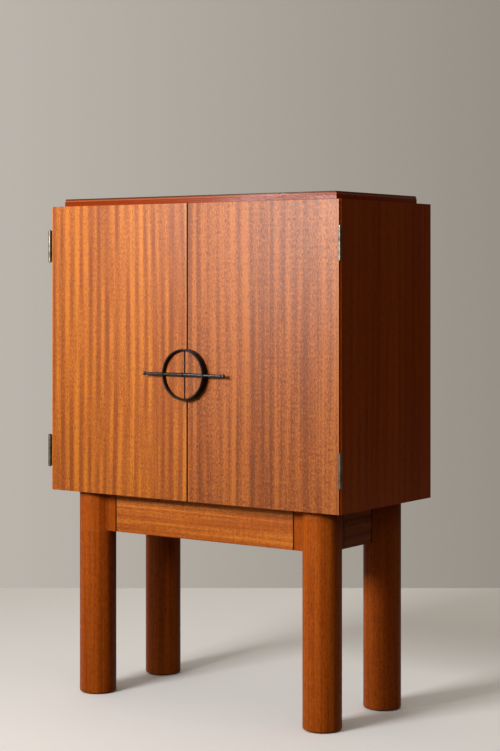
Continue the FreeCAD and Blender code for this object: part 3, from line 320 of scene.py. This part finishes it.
def rail_sheet(sizes, low, high, along):
    """An apron: a rectangle with softened edges carried along its length, thinner by a groove at each end."""
    size = np.array(high) - np.array(low)
    middle = (np.array(high) + np.array(low)) / 2
    run = size[along] / 2
    across = size[1 - along] / 2
    centre, direction = rounded_ring(across, size[2] / 2, sizes.arris, POINTS["rail_corner"])
    ring = centre + sizes.arris * direction
    thin = ring * np.array([1.0 - sizes.groove_depth / across, 1.0])
    lip = run - sizes.joint_groove
    stations = np.array([-run, -lip, -lip, lip, lip, run])
    rings = np.stack([thin, thin, ring, ring, thin, thin])
    sheet = np.empty(rings.shape[:2] + (3,))
    sheet[..., along] = middle[along] + stations[:, None]
    sheet[..., 1 - along] = middle[1 - along] + rings[..., 0]
    sheet[..., 2] = middle[2] + rings[..., 1]
    # Painted shade on the rings in the grooves at both ends
    return closed_ends(sheet), np.array([DARK, DARK, DARK, 0.0, 0.0, DARK, DARK, DARK])


def slab_sheet(sizes):
    """A slab: rings of a rectangle that rise upright, lean in, then turn along an arc into the flat top.

    The leaning part has a ring at each end of its painted highlight line and where its painted shade line
    starts.
    """
    size = SLAB_HIGH - SLAB_LOW
    middle = (SLAB_HIGH + SLAB_LOW) / 2
    radius = sizes.slab_round
    start = size.z - sizes.slab_lean_height
    slope = math.atan2(sizes.slab_lean, sizes.slab_lean_height)
    turn = np.linspace(slope, math.pi / 2, POINTS["slab_round"])
    deep = (radius + (sizes.slab_lean_height - radius) * math.sin(slope)) / math.cos(slope)
    inset = deep - radius * np.cos(turn)
    rise = size.z - radius + radius * np.sin(turn)
    highlight_low, highlight_high = HIGHLIGHT_LINE
    shares = np.array([0.0, highlight_low - LINE_FADE, highlight_low, highlight_high, highlight_high + LINE_FADE,
                       SHADE_LINE - SHADE_LINE_FADE, SHADE_LINE])
    lean = sizes.slab_lean_height * shares
    inset = np.concatenate([[0.0], lean * math.tan(slope), inset, [inset[-1] + sizes.slab_corner]])
    rise = np.concatenate([[0.0], start + lean, rise, rise[-1:]])
    centre, direction = rounded_ring(size.x / 2, size.y / 2, sizes.slab_corner, POINTS["slab_corner"])
    flat = centre + sizes.slab_corner * direction - inset[:, None, None] * np.sign(centre)
    sheet = np.empty(flat.shape[:2] + (3,))
    sheet[..., 0] = middle.x + flat[..., 0]
    sheet[..., 1] = middle.y + flat[..., 1]
    sheet[..., 2] = SLAB_LOW.z + rise[:, None]
    # A painted highlight line on the leaning part, painted shade on its upper part and over the arc, and a
    # dull top
    wear = np.concatenate([[0.0, 0.0, 0.0, 0.0, RUBBED_AND_HIGHLIT, RUBBED_AND_HIGHLIT, 0.0, 0.0],
                           np.full(1 + len(turn), SHADE_LINE_DEPTH * DARK), [DULL, DULL]])
    return closed_ends(sheet), wear


def hoop_sheet(sizes, hand):
    """Half a hoop: a flat bar with round edges carried round half a circle and cut off flat at the gap."""
    outer = (HOOP_HIGH.z - HOOP_LOW.z) / 2
    middle_z = (HOOP_HIGH.z + HOOP_LOW.z) / 2
    depth = HOOP_HIGH.y - HOOP_LOW.y
    centre, direction = rounded_ring(sizes.hoop_wall / 2, depth / 2, sizes.hoop_edge, POINTS["hoop_corner"])
    ring = centre + sizes.hoop_edge * direction
    radius = outer - sizes.hoop_wall / 2 + ring[:, 0]
    y = (HOOP_HIGH.y + HOOP_LOW.y) / 2 + ring[:, 1]
    turn = np.linspace(-1.0, 1.0, POINTS["hoop"])[:, None] * np.arccos(HOOP_LOW.x / radius)
    x = hand * radius * np.cos(turn)
    z = middle_z + radius * np.sin(turn)
    return closed_ends(np.stack([x, np.broadcast_to(y, x.shape), z], -1))


def disc_sheet(sizes, hand):
    """Half a disc: its profile from the face over a round rim to the back, carried round half a circle."""
    outer = (DISC_HIGH.z - DISC_LOW.z) / 2
    middle_z = (DISC_HIGH.z + DISC_LOW.z) / 2
    edge = sizes.disc_edge
    profile = np.concatenate([
        straight((DISC_LOW.x, DISC_LOW.y), (outer - edge, DISC_LOW.y), POINTS["disc_face"]),
        arc((outer - edge, DISC_LOW.y + edge), edge, -90.0, 0.0, POINTS["disc_edge"])[1:],
        straight((outer, DISC_HIGH.y), (DISC_LOW.x, DISC_HIGH.y), POINTS["disc_back"]),
    ])
    radius = profile[:, :1]
    turn = np.linspace(-1.0, 1.0, POINTS["disc"]) * np.arccos(np.clip(DISC_LOW.x / radius, -1.0, 1.0))
    x = hand * radius * np.cos(turn)
    z = middle_z + radius * np.sin(turn)
    return np.stack([x, np.broadcast_to(profile[:, 1:], x.shape), z], -1)


def rod_sheet(sizes, hand):
    """Half a rod: the profile of collar, long taper, neck and ball, turned about the rod's length."""
    middle_y = (ROD_HIGH.y + ROD_LOW.y) / 2
    middle_z = (ROD_HIGH.z + ROD_LOW.z) / 2
    collar = (ROD_HIGH.z - ROD_LOW.z) / 2
    ease = sizes.rod_end_radius * ROD_EASE
    ball_at = ROD_HIGH.x - sizes.rod_ball
    root = ball_at - math.sqrt(sizes.rod_ball ** 2 - sizes.rod_neck_radius ** 2)
    neck = root - sizes.rod_neck
    start = ROD_LOW.x
    shoulder = start + sizes.rod_collar
    opening = math.degrees(math.asin(sizes.rod_neck_radius / sizes.rod_ball))
    profile = np.concatenate([
        [[start, 0.0], [start, collar - ease], [start + ease, collar]],
        [[shoulder - ease, collar], [shoulder, collar - ease]],
        straight((shoulder, sizes.rod_radius), (neck - ease, sizes.rod_end_radius), POINTS["rod_taper"]),
        [[neck, sizes.rod_end_radius - ease], [neck, sizes.rod_neck_radius], [root, sizes.rod_neck_radius]],
        arc((ball_at, 0.0), sizes.rod_ball, 180.0 - opening, 0.0, POINTS["rod_ball"])[1:],
    ])
    turn = np.linspace(0.0, math.tau, POINTS["rod"], endpoint=False)
    x = np.broadcast_to(hand * profile[:, :1], (len(profile), len(turn)))
    y = middle_y + profile[:, 1:] * np.cos(turn)
    z = middle_z + profile[:, 1:] * np.sin(turn)
    return np.stack([x, y, z], -1)


# Sockets of a Mix node that mixes colours
MIX_FACTOR, MIX_FIRST, MIX_SECOND, MIX_RESULT = 0, 6, 7, 2


class Tree:
    """A material's nodes, with short ways to add and join them."""

    def __init__(self, name):
        self.material = bpy.data.materials.new(name)
        self.material.use_nodes = True
        self.nodes = self.material.node_tree.nodes
        self.links = self.material.node_tree.links
        self.shader = self.nodes["Principled BSDF"]

    def add(self, kind, **settings):
        """A new node with its settings."""
        node = self.nodes.new("ShaderNode" + kind)
        for key, value in settings.items():
            setattr(node, key, value)
        return node

    def feed(self, target, source):
        """An input's link from an output, or its plain number or colour."""
        if isinstance(source, bpy.types.NodeSocket):
            self.links.new(source, target)
        elif isinstance(source, tuple):
            target.default_value = (*source, 1.0)
        else:
            target.default_value = source

    def place(self, turn=(0.0, 0.0, 0.0), offset=0.0):
        """Object coordinates, turned so that the grain runs along Z and moved along it."""
        coordinate = self.add("TexCoord")
        mapping = self.add("Mapping")
        mapping.inputs["Rotation"].default_value = turn
        mapping.inputs["Location"].default_value = (0.0, 0.0, offset)
        self.feed(mapping.inputs["Vector"], coordinate.outputs["Object"])
        return mapping.outputs["Vector"]

    def noise(self, vector, across, along, detail, rough):
        """Soft noise from 0 to 1, with its scales per metre across and along the grain."""
        mapping = self.add("Mapping")
        mapping.inputs["Scale"].default_value = (across, across, along)
        self.feed(mapping.inputs["Vector"], vector)
        noise = self.add("TexNoise")
        noise.inputs["Scale"].default_value = 1.0
        noise.inputs["Detail"].default_value = detail
        noise.inputs["Roughness"].default_value = rough
        self.feed(noise.inputs["Vector"], mapping.outputs["Vector"])
        return noise.outputs["Fac"]

    def level(self, value, low, high, to_low=0.0, to_high=1.0, smooth=False):
        """A value's range stretched or squeezed to another, and kept within it."""
        node = self.add("MapRange", interpolation_type="SMOOTHSTEP" if smooth else "LINEAR")
        for key, number in (("From Min", low), ("From Max", high), ("To Min", to_low), ("To Max", to_high)):
            node.inputs[key].default_value = number
        self.feed(node.inputs["Value"], value)
        return node.outputs["Result"]

    def maths(self, operation, first, second=0.0):
        """One step of arithmetic; the second term may be a number."""
        node = self.add("Math", operation=operation)
        self.feed(node.inputs[0], first)
        self.feed(node.inputs[1], second)
        return node.outputs[0]

    def weighted(self, terms):
        """A sum of values, each times its weight."""
        total = None
        for value, weight in terms:
            part = self.maths("MULTIPLY", value, weight)
            total = part if total is None else self.maths("ADD", total, part)
        return total

    def ramp(self, value, stops, tints):
        """Colours spread over a value, one at each stop."""
        node = self.add("ValToRGB")
        elements = node.color_ramp.elements
        while len(elements) < len(stops):
            elements.new(0.5)
        for element, stop, tint in zip(elements, stops, tints):
            element.position = stop
            element.color = (*tint, 1.0)
        self.feed(node.inputs["Fac"], value)
        return node.outputs["Color"]

    def mix(self, factor, first, second):
        """Two colours mixed by a factor; either may be plain."""
        node = self.add("Mix", data_type="RGBA")
        self.feed(node.inputs[MIX_FACTOR], factor)
        self.feed(node.inputs[MIX_FIRST], first)
        self.feed(node.inputs[MIX_SECOND], second)
        return node.outputs[MIX_RESULT]

    def bump(self, height, strength, distance):
        """Fine relief on the shader."""
        node = self.add("Bump")
        node.inputs["Strength"].default_value = strength
        node.inputs["Distance"].default_value = distance
        self.feed(node.inputs["Height"], height)
        self.feed(self.shader.inputs["Normal"], node.outputs["Normal"])


# Turns that lay a grain along each axis
ALONG = {"x": (0.0, math.radians(90), 0.0), "y": (math.radians(90), 0.0, 0.0), "z": (0.0, 0.0, 0.0)}

# Layers of noise in the wood: scale per metre across the grain and along it, detail, roughness of the detail
LAYERS = {
    "wander": (9.0, 0.9, 1.0, 0.5),
    "strength": (26.0, 4.5, 1.0, 0.5),
    "bands": (11.0, 0.5, 0.0, 0.5),
    "strands": (62.0, 1.1, 1.0, 0.5),
    "narrow": (190.0, 2.2, 2.0, 0.55),
    "dashes": (300.0, 150.0, 2.0, 0.65),
    "ripple": (40.0, 150.0, 1.0, 0.5),
    "pores": (1300.0, 80.0, 0.0, 0.5),
    "patch": (5.0, 2.0, 1.0, 0.5),
}

# How far the ribbons wander, in radians, and the noise between which they come and go
WANDER = 11.0
RIBBON_RANGE = (0.32, 0.68)

# Where the dark, middle and light tones stand in the mixed pattern
TONE_STOPS = (0.10, 0.5, 0.90)

# Noise between which a pore opens, and how much of its colour it takes
PORE_RANGE = (0.60, 0.70)
PORE_DEPTH = 0.55

# Painted shade beside the line where the doors meet and a painted highlight on the arris at their outer
# edges, in metres from each, and how much of the light tone that painted highlight takes
GAP_SHADE = (0.0017, 0.0027)
EDGE_HIGHLIGHT = (0.0045, 0.0025)
EDGE_HIGHLIGHT_SHARE = 0.9

# What the layers add to the roughness, what that is on average, and what a dull face adds
GLOSS = {"narrow": 0.08, "pores": 0.15, "patch": 0.06}
GLOSS_MEAN = 0.07
DULL_GAIN = 0.25

# Relief of the wood: what the pores and the narrow stripes give, strength and height in metres
PORE_RELIEF = -1.0
STRIPE_RELIEF = 0.25
WOOD_RELIEF = (0.25, 0.00015)

# Patches and grit of the metals as layers of noise, the spread of their gloss and their relief
METAL_PATCH = (60.0, 60.0, 3.0, 0.6)
METAL_GRIT = (900.0, 900.0, 2.0, 0.6)
METAL_SPREAD = 0.07
METAL_RELIEF = (0.12, 0.0001)

# Clouding of the plain finishes as a layer of noise, and the spread of their gloss
PLAIN_CLOUD = (40.0, 40.0, 2.0, 0.5)
PLAIN_SPREAD = 0.05

# Noise between which the gloss of metals and plain finishes runs from its least to its most
GLOSS_RANGE = (0.2, 0.8)

# Finishes in wood: its tones, the weight of each layer, the width of a ribbon in metres, roughness and shine
WOODS = {
    "left_door": dict(tones="left", ribbon=0.42, broad=0.7, strand=0.25, fine=0.7, fleck=1.5, rough=0.40,
                      shine=0.18, door_lines=True, offset=15.5),
    "right_door": dict(tones="right", ribbon=0.32, broad=0.8, strand=0.6, fine=0.9, fleck=2.2, mottle=0.35,
                       rough=0.40, shine=0.18, door_lines=True, offset=71.7),
    "case": dict(tones="case", ribbon=0.2, fine=0.7, shine=0.05, offset=1.3),
    "board": dict(tones="case", grain="x", ribbon=0.2),
    "leg": dict(tones="leg", ribbon=0.12, width=0.035, broad=0.4, fine=0.9, fleck=0.7, rough=0.38,
                shine=0.05),
    "apron_x": dict(tones="apron", grain="x", ribbon=0.15, width=0.04, broad=1.1, strand=0.7, fine=0.9,
                    fleck=0.4, mottle=0.25, rough=0.38, shine=0.10),
    "apron_y": dict(tones="apron", grain="y", ribbon=0.15, width=0.04, broad=1.1, strand=0.7, fine=0.9,
                    fleck=0.4, mottle=0.25, rough=0.38, shine=0.05),
    "slab": dict(tones="slab", grain="x", ribbon=0.05, broad=0.15, strand=0.15, fine=0.3, fleck=0.2,
                 mottle=0.1, rough=0.20, shine=0.07, rub_and_highlight=0.9),
}

# Finishes in metal with two tones, and plain ones
METALS = {
    "hinge": dict(ground="brass", other="brass_dark", rough=0.42),
    "iron": dict(ground="iron", other="iron_worn", rough=0.36, share=(0.55, 1.1), metallic=0.0, shine=0.10),
    "rod": dict(ground="iron", other="iron_worn", rough=0.26, share=(0.55, 1.1), metallic=0.0, shine=0.42),
}
PLAINS = {
    "steel": dict(tint="steel", rough=0.34, metallic=1.0),
    "brass": dict(tint="bright_brass", rough=0.30, metallic=1.0),
    "felt": dict(tint="felt", rough=0.9),
}


def tone(name):
    """A colour of the scene by name."""
    return tuple(getattr(bpy.context.scene.cabinet_colours, name))


def ribbons(tree, at, layers, width):
    """Ribbon stripes: a sine across the grain whose phase wanders, times a strength that comes and goes."""
    across = tree.add("VectorMath", operation="DOT_PRODUCT")
    tree.feed(across.inputs[0], at)
    across.inputs[1].default_value = (math.tau / width, math.tau / width, 0.0)
    wander = tree.maths("MULTIPLY", layers["wander"], WANDER)
    wave = tree.maths("SINE", tree.maths("ADD", across.outputs["Value"], wander))
    return tree.maths("MULTIPLY", wave, tree.level(layers["strength"], *RIBBON_RANGE))


def lined(tree, tint, light):
    """A door's colour with painted shade beside the line where the doors meet and a painted highlight on the
    outer arris.
    """
    split = tree.add("SeparateXYZ")
    tree.feed(split.inputs["Vector"], tree.place())
    away = tree.maths("ABSOLUTE", split.outputs["X"])
    tint = tree.mix(tree.level(away, *GAP_SHADE, 1.0, 0.0), tint, tone("shade"))
    start, end = (DOOR_EDGE - reach for reach in EDGE_HIGHLIGHT)
    return tree.mix(tree.level(away, start, end, 0.0, EDGE_HIGHLIGHT_SHARE), tint, light)


def wood(name, tones, grain="z", ribbon=0.30, width=0.029, broad=0.5, strand=0.4, fine=0.45, fleck=0.35,
         mottle=0.2, rough=0.34, shine=0.22, rub_and_highlight=0.25, door_lines=False, offset=0.0):
    """Ribbon-striped wood: ribbons, bands, strands, narrow stripes, dashes and ripple, each times its weight.

    Their sum runs through three tones. Pores, rubbed arrises, painted highlights and painted shade in grooves
    and gaps go over it.
    """
    dark, middle, light = (tone(tones + step) for step in ("_dark", "_mid", "_light"))
    tree = Tree(name)
    at = tree.place(ALONG[grain], offset)
    layers = {layer: tree.noise(at, *scales) for layer, scales in LAYERS.items()}
    total = tree.weighted([(ribbons(tree, at, layers, width), ribbon), (layers["bands"], broad),
                           (layers["strands"], strand), (layers["narrow"], fine),
                           (layers["dashes"], fleck), (layers["ripple"], mottle)])
    mean = (broad + strand + fine + fleck + mottle) / 2
    tint = tree.ramp(tree.level(total, mean - 0.5, mean + 0.5), TONE_STOPS, (dark, middle, light))
    pores = tree.level(layers["pores"], *PORE_RANGE, smooth=True)
    tint = tree.mix(tree.maths("MULTIPLY", pores, PORE_DEPTH), tint, tone("pore"))
    wear = tree.add("Attribute", attribute_name="wear").outputs["Fac"]
    # Rubbed arrises, and the painted highlight line on the slab's edge, take some of the light tone
    tint = tree.mix(tree.level(wear, 0.0, RUBBED_AND_HIGHLIT, 0.0, rub_and_highlight), tint, light)
    # Painted shade in grooves and along the slab's upper arris
    tint = tree.mix(tree.level(wear, RUBBED_AND_HIGHLIT, DARK), tint, tone("shade"))
    if door_lines:
        tint = lined(tree, tint, light)
    tree.feed(tree.shader.inputs["Base Color"], tint)
    gloss = tree.weighted([(layers["narrow"], GLOSS["narrow"]), (pores, GLOSS["pores"]),
                           (layers["patch"], GLOSS["patch"])])
    gloss = tree.maths("ADD", gloss, tree.level(wear, DULL, 0.0, rough + DULL_GAIN, rough - GLOSS_MEAN))
    tree.feed(tree.shader.inputs["Roughness"], gloss)
    tree.shader.inputs["Specular IOR Level"].default_value = shine
    relief = tree.weighted([(pores, PORE_RELIEF), (layers["narrow"], STRIPE_RELIEF)])
    tree.bump(relief, *WOOD_RELIEF)
    return tree.material


def metal(name, ground, other, rough, share=(0.4, 0.7), metallic=1.0, shine=0.5):
    """Metal with patches of a second tone, uneven gloss and faint relief."""
    tree = Tree(name)
    at = tree.place()
    patch = tree.noise(at, *METAL_PATCH)
    tint = tree.mix(tree.level(patch, *share), tone(ground), tone(other))
    tree.feed(tree.shader.inputs["Base Color"], tint)
    tree.shader.inputs["Metallic"].default_value = metallic
    tree.shader.inputs["Specular IOR Level"].default_value = shine
    gloss = tree.level(patch, *GLOSS_RANGE, rough - METAL_SPREAD, rough + METAL_SPREAD)
    tree.feed(tree.shader.inputs["Roughness"], gloss)
    tree.bump(tree.noise(at, *METAL_GRIT), *METAL_RELIEF)
    return tree.material


def plain(name, tint, rough, metallic=0.0):
    """A plain finish with a slight unevenness of gloss."""
    tree = Tree(name)
    tree.feed(tree.shader.inputs["Base Color"], tone(tint))
    tree.shader.inputs["Metallic"].default_value = metallic
    cloud = tree.noise(tree.place(), *PLAIN_CLOUD)
    gloss = tree.level(cloud, *GLOSS_RANGE, rough - PLAIN_SPREAD, rough + PLAIN_SPREAD)
    tree.feed(tree.shader.inputs["Roughness"], gloss)
    return tree.material


def finish_of(name):
    """A finish by name, made once."""
    title = "finish_" + name
    found = bpy.data.materials.get(title)
    if found is None:
        kinds = ((wood, WOODS), (metal, METALS), (plain, PLAINS))
        make, table = next(kind for kind in kinds if name in kind[1])
        found = make(title, **table[name])
    return found


class CABINET_OT_doors(bpy.types.Operator):
    """Finish both doors in ribbon-striped veneer"""

    bl_idname = "cabinet.doors"
    bl_label = "Doors"

    def execute(self, context):
        finish_node("left_door", finish_of("left_door"))
        finish_node("right_door", finish_of("right_door"))
        return {"FINISHED"}


class CABINET_OT_case(bpy.types.Operator):
    """Finish the case, its back and its shelves"""

    bl_idname = "cabinet.case"
    bl_label = "Case and shelves"

    def execute(self, context):
        for node in ("left_side", "right_side", "back_panel"):
            finish_node(node, finish_of("case"))
        for node in ("case_top", "case_bottom", "fixed_shelf", "loose_shelf", "case_splines"):
            finish_node(node, finish_of("board"))
        return {"FINISHED"}


class CABINET_OT_slab(bpy.types.Operator):
    """Draw the raised slab on the case"""

    bl_idname = "cabinet.slab"
    bl_label = "Slab"

    def execute(self, context):
        slab = surface("slab", *slab_sheet(context.scene.cabinet_sizes))
        dress(slab, finish_of("slab"), "case", "slab_wood", "top_slab")
        return {"FINISHED"}


class CABINET_OT_legs(bpy.types.Operator):
    """Draw the four legs with their ears, and finish their glides"""

    bl_idname = "cabinet.legs"
    bl_label = "Legs"

    def execute(self, context):
        sizes = context.scene.cabinet_sizes
        radius = sizes.leg_radius
        for node, quarter in LEG_TURNS.items():
            low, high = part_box(node)
            axis = (low.x + radius if "left" in node else high.x - radius,
                    low.y + radius if "front" in node else high.y - radius)
            sheet, wear = leg_sheet(sizes, axis, quarter, low.z, APRON_LOW.z, high.z)
            leg = surface(node.replace("_leg", "_turned_leg"), sheet, wear)
            dress(leg, finish_of("leg"), "case", "leg_wood", node)
        finish_node("leg_glides", finish_of("felt"))
        return {"FINISHED"}


class CABINET_OT_aprons(bpy.types.Operator):
    """Draw the aprons between the ears, and finish their tenons"""

    bl_idname = "cabinet.aprons"
    bl_label = "Aprons"

    def execute(self, context):
        sizes = context.scene.cabinet_sizes
        for name, along in (("front", 0), ("back", 0), ("left", 1), ("right", 1)):
            node = name + "_apron"
            rail = surface(name + "_rail", *rail_sheet(sizes, *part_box(node), along))
            dress(rail, finish_of("apron_" + "xy"[along]), "case", "leg_wood", node)
        finish_node("apron_tenons", finish_of("leg"))
        return {"FINISHED"}


class CABINET_OT_hinges(bpy.types.Operator):
    """Finish the hinges, their pins and their screws"""

    bl_idname = "cabinet.hinges"
    bl_label = "Hinges"

    def execute(self, context):
        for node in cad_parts:
            if node.endswith(("_leaf", "hinge_screws", "hinge_pins")):
                finish_node(node, finish_of("hinge"))
        return {"FINISHED"}


class CABINET_OT_pull(bpy.types.Operator):
    """Draw both halves of the hoop, rod and raised disc"""

    bl_idname = "cabinet.pull"
    bl_label = "Pull"

    def execute(self, context):
        sizes = context.scene.cabinet_sizes
        for side, hand in (("left", -1), ("right", 1)):
            body = "door_" + side
            hoop = surface(side + "_half_hoop", hoop_sheet(sizes, hand))
            dress(hoop, finish_of("iron"), body, "black_iron", side + "_hoop")
            rod = surface(side + "_half_rod", rod_sheet(sizes, hand))
            dress(rod, finish_of("rod"), body, "black_iron", side + "_rod")
            disc = surface(side + "_half_disc", disc_sheet(sizes, hand))
            dress(disc, finish_of(side + "_door"), body, "door_veneer", side + "_disc")
        return {"FINISHED"}


class CABINET_OT_fold_shelf(bpy.types.Operator):
    """Finish the fold-out shelf and the fittings that carry it"""

    bl_idname = "cabinet.fold_shelf"
    bl_label = "Fold-out shelf"

    def execute(self, context):
        finish_node("fold_shelf", finish_of("board"))
        for node in ("fold_shelf_left_cheek", "fold_shelf_right_cheek"):
            finish_node(node, finish_of("leg"))
        for node in ("stop_rail", "stow_block"):
            finish_node(node, finish_of("apron_x"))
        for node in ("fold_shelf_bushes", "fold_shelf_pins"):
            finish_node(node, finish_of("brass"))
        return {"FINISHED"}


class CABINET_OT_fittings(bpy.types.Operator):
    """Finish screws, bolts, magnets, strikes and shelf supports"""

    bl_idname = "cabinet.fittings"
    bl_label = "Fittings"

    def execute(self, context):
        for node in ("shelf_supports", "leg_inserts"):
            finish_node(node, finish_of("brass"))
        for node in ("back_screws", "slab_screws", "leg_bolts", "door_magnets", "left_door_strikes",
                     "right_door_strikes", "left_pull_screws", "right_pull_screws", "fold_shelf_strike",
                     "stow_magnet", "bracket_screws"):
            finish_node(node, finish_of("steel"))
        return {"FINISHED"}


# The camera: place in metres, turn about the upright, lens and sensor in millimetres, shift of the picture
CAMERA_AT = (2.60145, -3.57225, 1.02838)
CAMERA_TURN = math.radians(35.588)
CAMERA_LENS = 87.20
CAMERA_SENSOR = 36.0
CAMERA_SHIFT = -0.1322

# Directions in plan along the line of sight and to its right
SIGHT = np.array([-math.sin(CAMERA_TURN), math.cos(CAMERA_TURN)])
SIDE = np.array([math.cos(CAMERA_TURN), math.sin(CAMERA_TURN)])

# Lights in metres, watts and degrees: a soft box from the front left and a tall strip that only gives sheen
KEY = dict(at=(-0.48, -2.90, 1.70), aim=(0.0, -0.19, 1.52), size=(0.95, 0.75), power=45.5,
           tint=(1.0, 0.99, 0.97), spread=100.0)
STRIP = dict(at=(-1.30, -2.70, 1.92), aim=(-0.35, -0.19, 1.92), size=(0.36, 1.54), power=120.0,
             tint=(1.0, 0.97, 0.94), only_sheen=True)

# What lies all round: colours that change along an axis, for directions within a reach of its middle
# The backdrop that the camera sees is painted paler to the left and darker to the right, as light falls on a
# wall
BACKDROP = dict(axis=(*SIDE, 0.0), reach=0.14, start=(0.50, 0.462, 0.415), end=(0.30, 0.275, 0.235))
DOME = dict(axis=(-0.5, -0.25, 0.83), reach=0.55, start=(0.0, 0.0, 0.0), end=(0.523, 0.472, 0.399))

FLOOR_ROUGHNESS = 0.8


def studio_floor(sizes):
    """A flat floor whose far edge lies square to the line of sight."""
    reach = sizes.floor_reach
    corners = [s * reach * SIDE + d * SIGHT for d in (-reach, sizes.floor_back) for s in (-1, 1)]
    sheet = np.array([[*corner, 0.0] for corner in corners]).reshape(2, 2, 3)
    floor = surface("floor", sheet, wrap=False)
    floor.data.materials.append(plain("floor_paint", "floor", FLOOR_ROUGHNESS))
    floor.visible_diffuse = False
    return floor


def area_light(name, at, aim, size, power, tint, spread=180.0, only_sheen=False):
    """A rectangular soft light at a point, turned towards another."""
    lamp = bpy.data.lights.new(name, "AREA")
    lamp.shape = "RECTANGLE"
    lamp.size, lamp.size_y = size
    lamp.energy = power
    lamp.color = tint
    lamp.spread = math.radians(spread)
    light = bpy.data.objects.new(name, lamp)
    light.location = at
    away = np.array(at) - np.array(aim)
    flat = math.hypot(away[0], away[1])
    light.rotation_euler = (math.atan2(flat, away[2]), 0.0, math.atan2(away[0], -away[1]))
    light.visible_camera = False
    light.visible_diffuse = not only_sheen
    bpy.context.scene.collection.objects.link(light)


def surround(world, axis, reach, start, end):
    """A colour for each direction: a ramp over the direction's share along an axis."""
    nodes, links = world.node_tree.nodes, world.node_tree.links
    along = nodes.new("ShaderNodeVectorMath")
    along.operation = "DOT_PRODUCT"
    along.inputs[1].default_value = axis
    links.new(nodes.new("ShaderNodeTexCoord").outputs["Generated"], along.inputs[0])
    spread = nodes.new("ShaderNodeMapRange")
    spread.inputs["From Min"].default_value = -reach
    spread.inputs["From Max"].default_value = reach
    links.new(along.outputs["Value"], spread.inputs["Value"])
    ramp = nodes.new("ShaderNodeValToRGB")
    ramp.color_ramp.elements[0].color = (*start, 1.0)
    ramp.color_ramp.elements[1].color = (*end, 1.0)
    links.new(spread.outputs["Result"], ramp.inputs["Fac"])
    return ramp.outputs["Color"]


def studio_world():
    """Grey behind the cabinet, painted paler to the left as light falls on a wall, and a dome of light for
    everything that it lights.
    """
    world = bpy.data.worlds.new("studio")
    world.use_nodes = True
    nodes, links = world.node_tree.nodes, world.node_tree.links
    mix = nodes.new("ShaderNodeMix")
    mix.data_type = "RGBA"
    links.new(nodes.new("ShaderNodeLightPath").outputs["Is Camera Ray"], mix.inputs[MIX_FACTOR])
    links.new(surround(world, **DOME), mix.inputs[MIX_FIRST])
    links.new(surround(world, **BACKDROP), mix.inputs[MIX_SECOND])
    links.new(mix.outputs[MIX_RESULT], nodes["Background"].inputs["Color"])
    return world


def studio_camera():
    """A level camera, which keeps uprights upright, shifted down to frame the cabinet."""
    lens = bpy.data.cameras.new("camera")
    lens.lens = CAMERA_LENS
    lens.sensor_width = CAMERA_SENSOR
    lens.shift_y = CAMERA_SHIFT
    camera = bpy.data.objects.new("camera", lens)
    camera.location = CAMERA_AT
    camera.rotation_euler = (math.radians(90), 0.0, CAMERA_TURN)
    bpy.context.scene.collection.objects.link(camera)
    return camera


class CABINET_OT_stage(bpy.types.Operator):
    """Set up the floor, the soft light and the camera"""

    bl_idname = "cabinet.stage"
    bl_label = "Stage"

    def execute(self, context):
        scene = context.scene
        studio_floor(scene.cabinet_sizes)
        area_light("key", **KEY)
        area_light("strip", **STRIP)
        scene.world = studio_world()
        scene.camera = studio_camera()
        scene.view_settings.view_transform = "Standard"
        scene.view_settings.look = "None"
        return {"FINISHED"}


OPERATORS = (CABINET_OT_doors, CABINET_OT_case, CABINET_OT_slab, CABINET_OT_legs, CABINET_OT_aprons,
             CABINET_OT_hinges, CABINET_OT_pull, CABINET_OT_fold_shelf, CABINET_OT_fittings, CABINET_OT_stage)


class CABINET_PT_panel(bpy.types.Panel):
    """Lists the pieces of the cabinet with their sizes and colours"""

    bl_idname = "CABINET_PT_panel"
    bl_label = "Bar cabinet"
    bl_space_type = "VIEW_3D"
    bl_region_type = "UI"
    bl_category = "Cabinet"

    def draw(self, context):
        for operator in OPERATORS:
            self.layout.operator(operator.bl_idname)
        for group in (context.scene.cabinet_sizes, context.scene.cabinet_colours):
            box = self.layout.box()
            for key in group.__annotations__:
                box.prop(group, key)


CLASSES = (CabinetSizes, CabinetColours, *OPERATORS, CABINET_PT_panel)


def register():
    """Registers the classes and hangs the sizes and colours on the scene."""
    for one in CLASSES:
        bpy.utils.register_class(one)
    bpy.types.Scene.cabinet_sizes = bpy.props.PointerProperty(type=CabinetSizes)
    bpy.types.Scene.cabinet_colours = bpy.props.PointerProperty(type=CabinetColours)


def unregister():
    """Takes all of that away again."""
    del bpy.types.Scene.cabinet_colours
    del bpy.types.Scene.cabinet_sizes
    for one in reversed(CLASSES):
        bpy.utils.unregister_class(one)


def main():
    """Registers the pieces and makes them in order."""
    register()
    for operator in OPERATORS:
        group, name = operator.bl_idname.split(".")
        getattr(getattr(bpy.ops, group), name)()


if __name__ == "__main__":
    main()
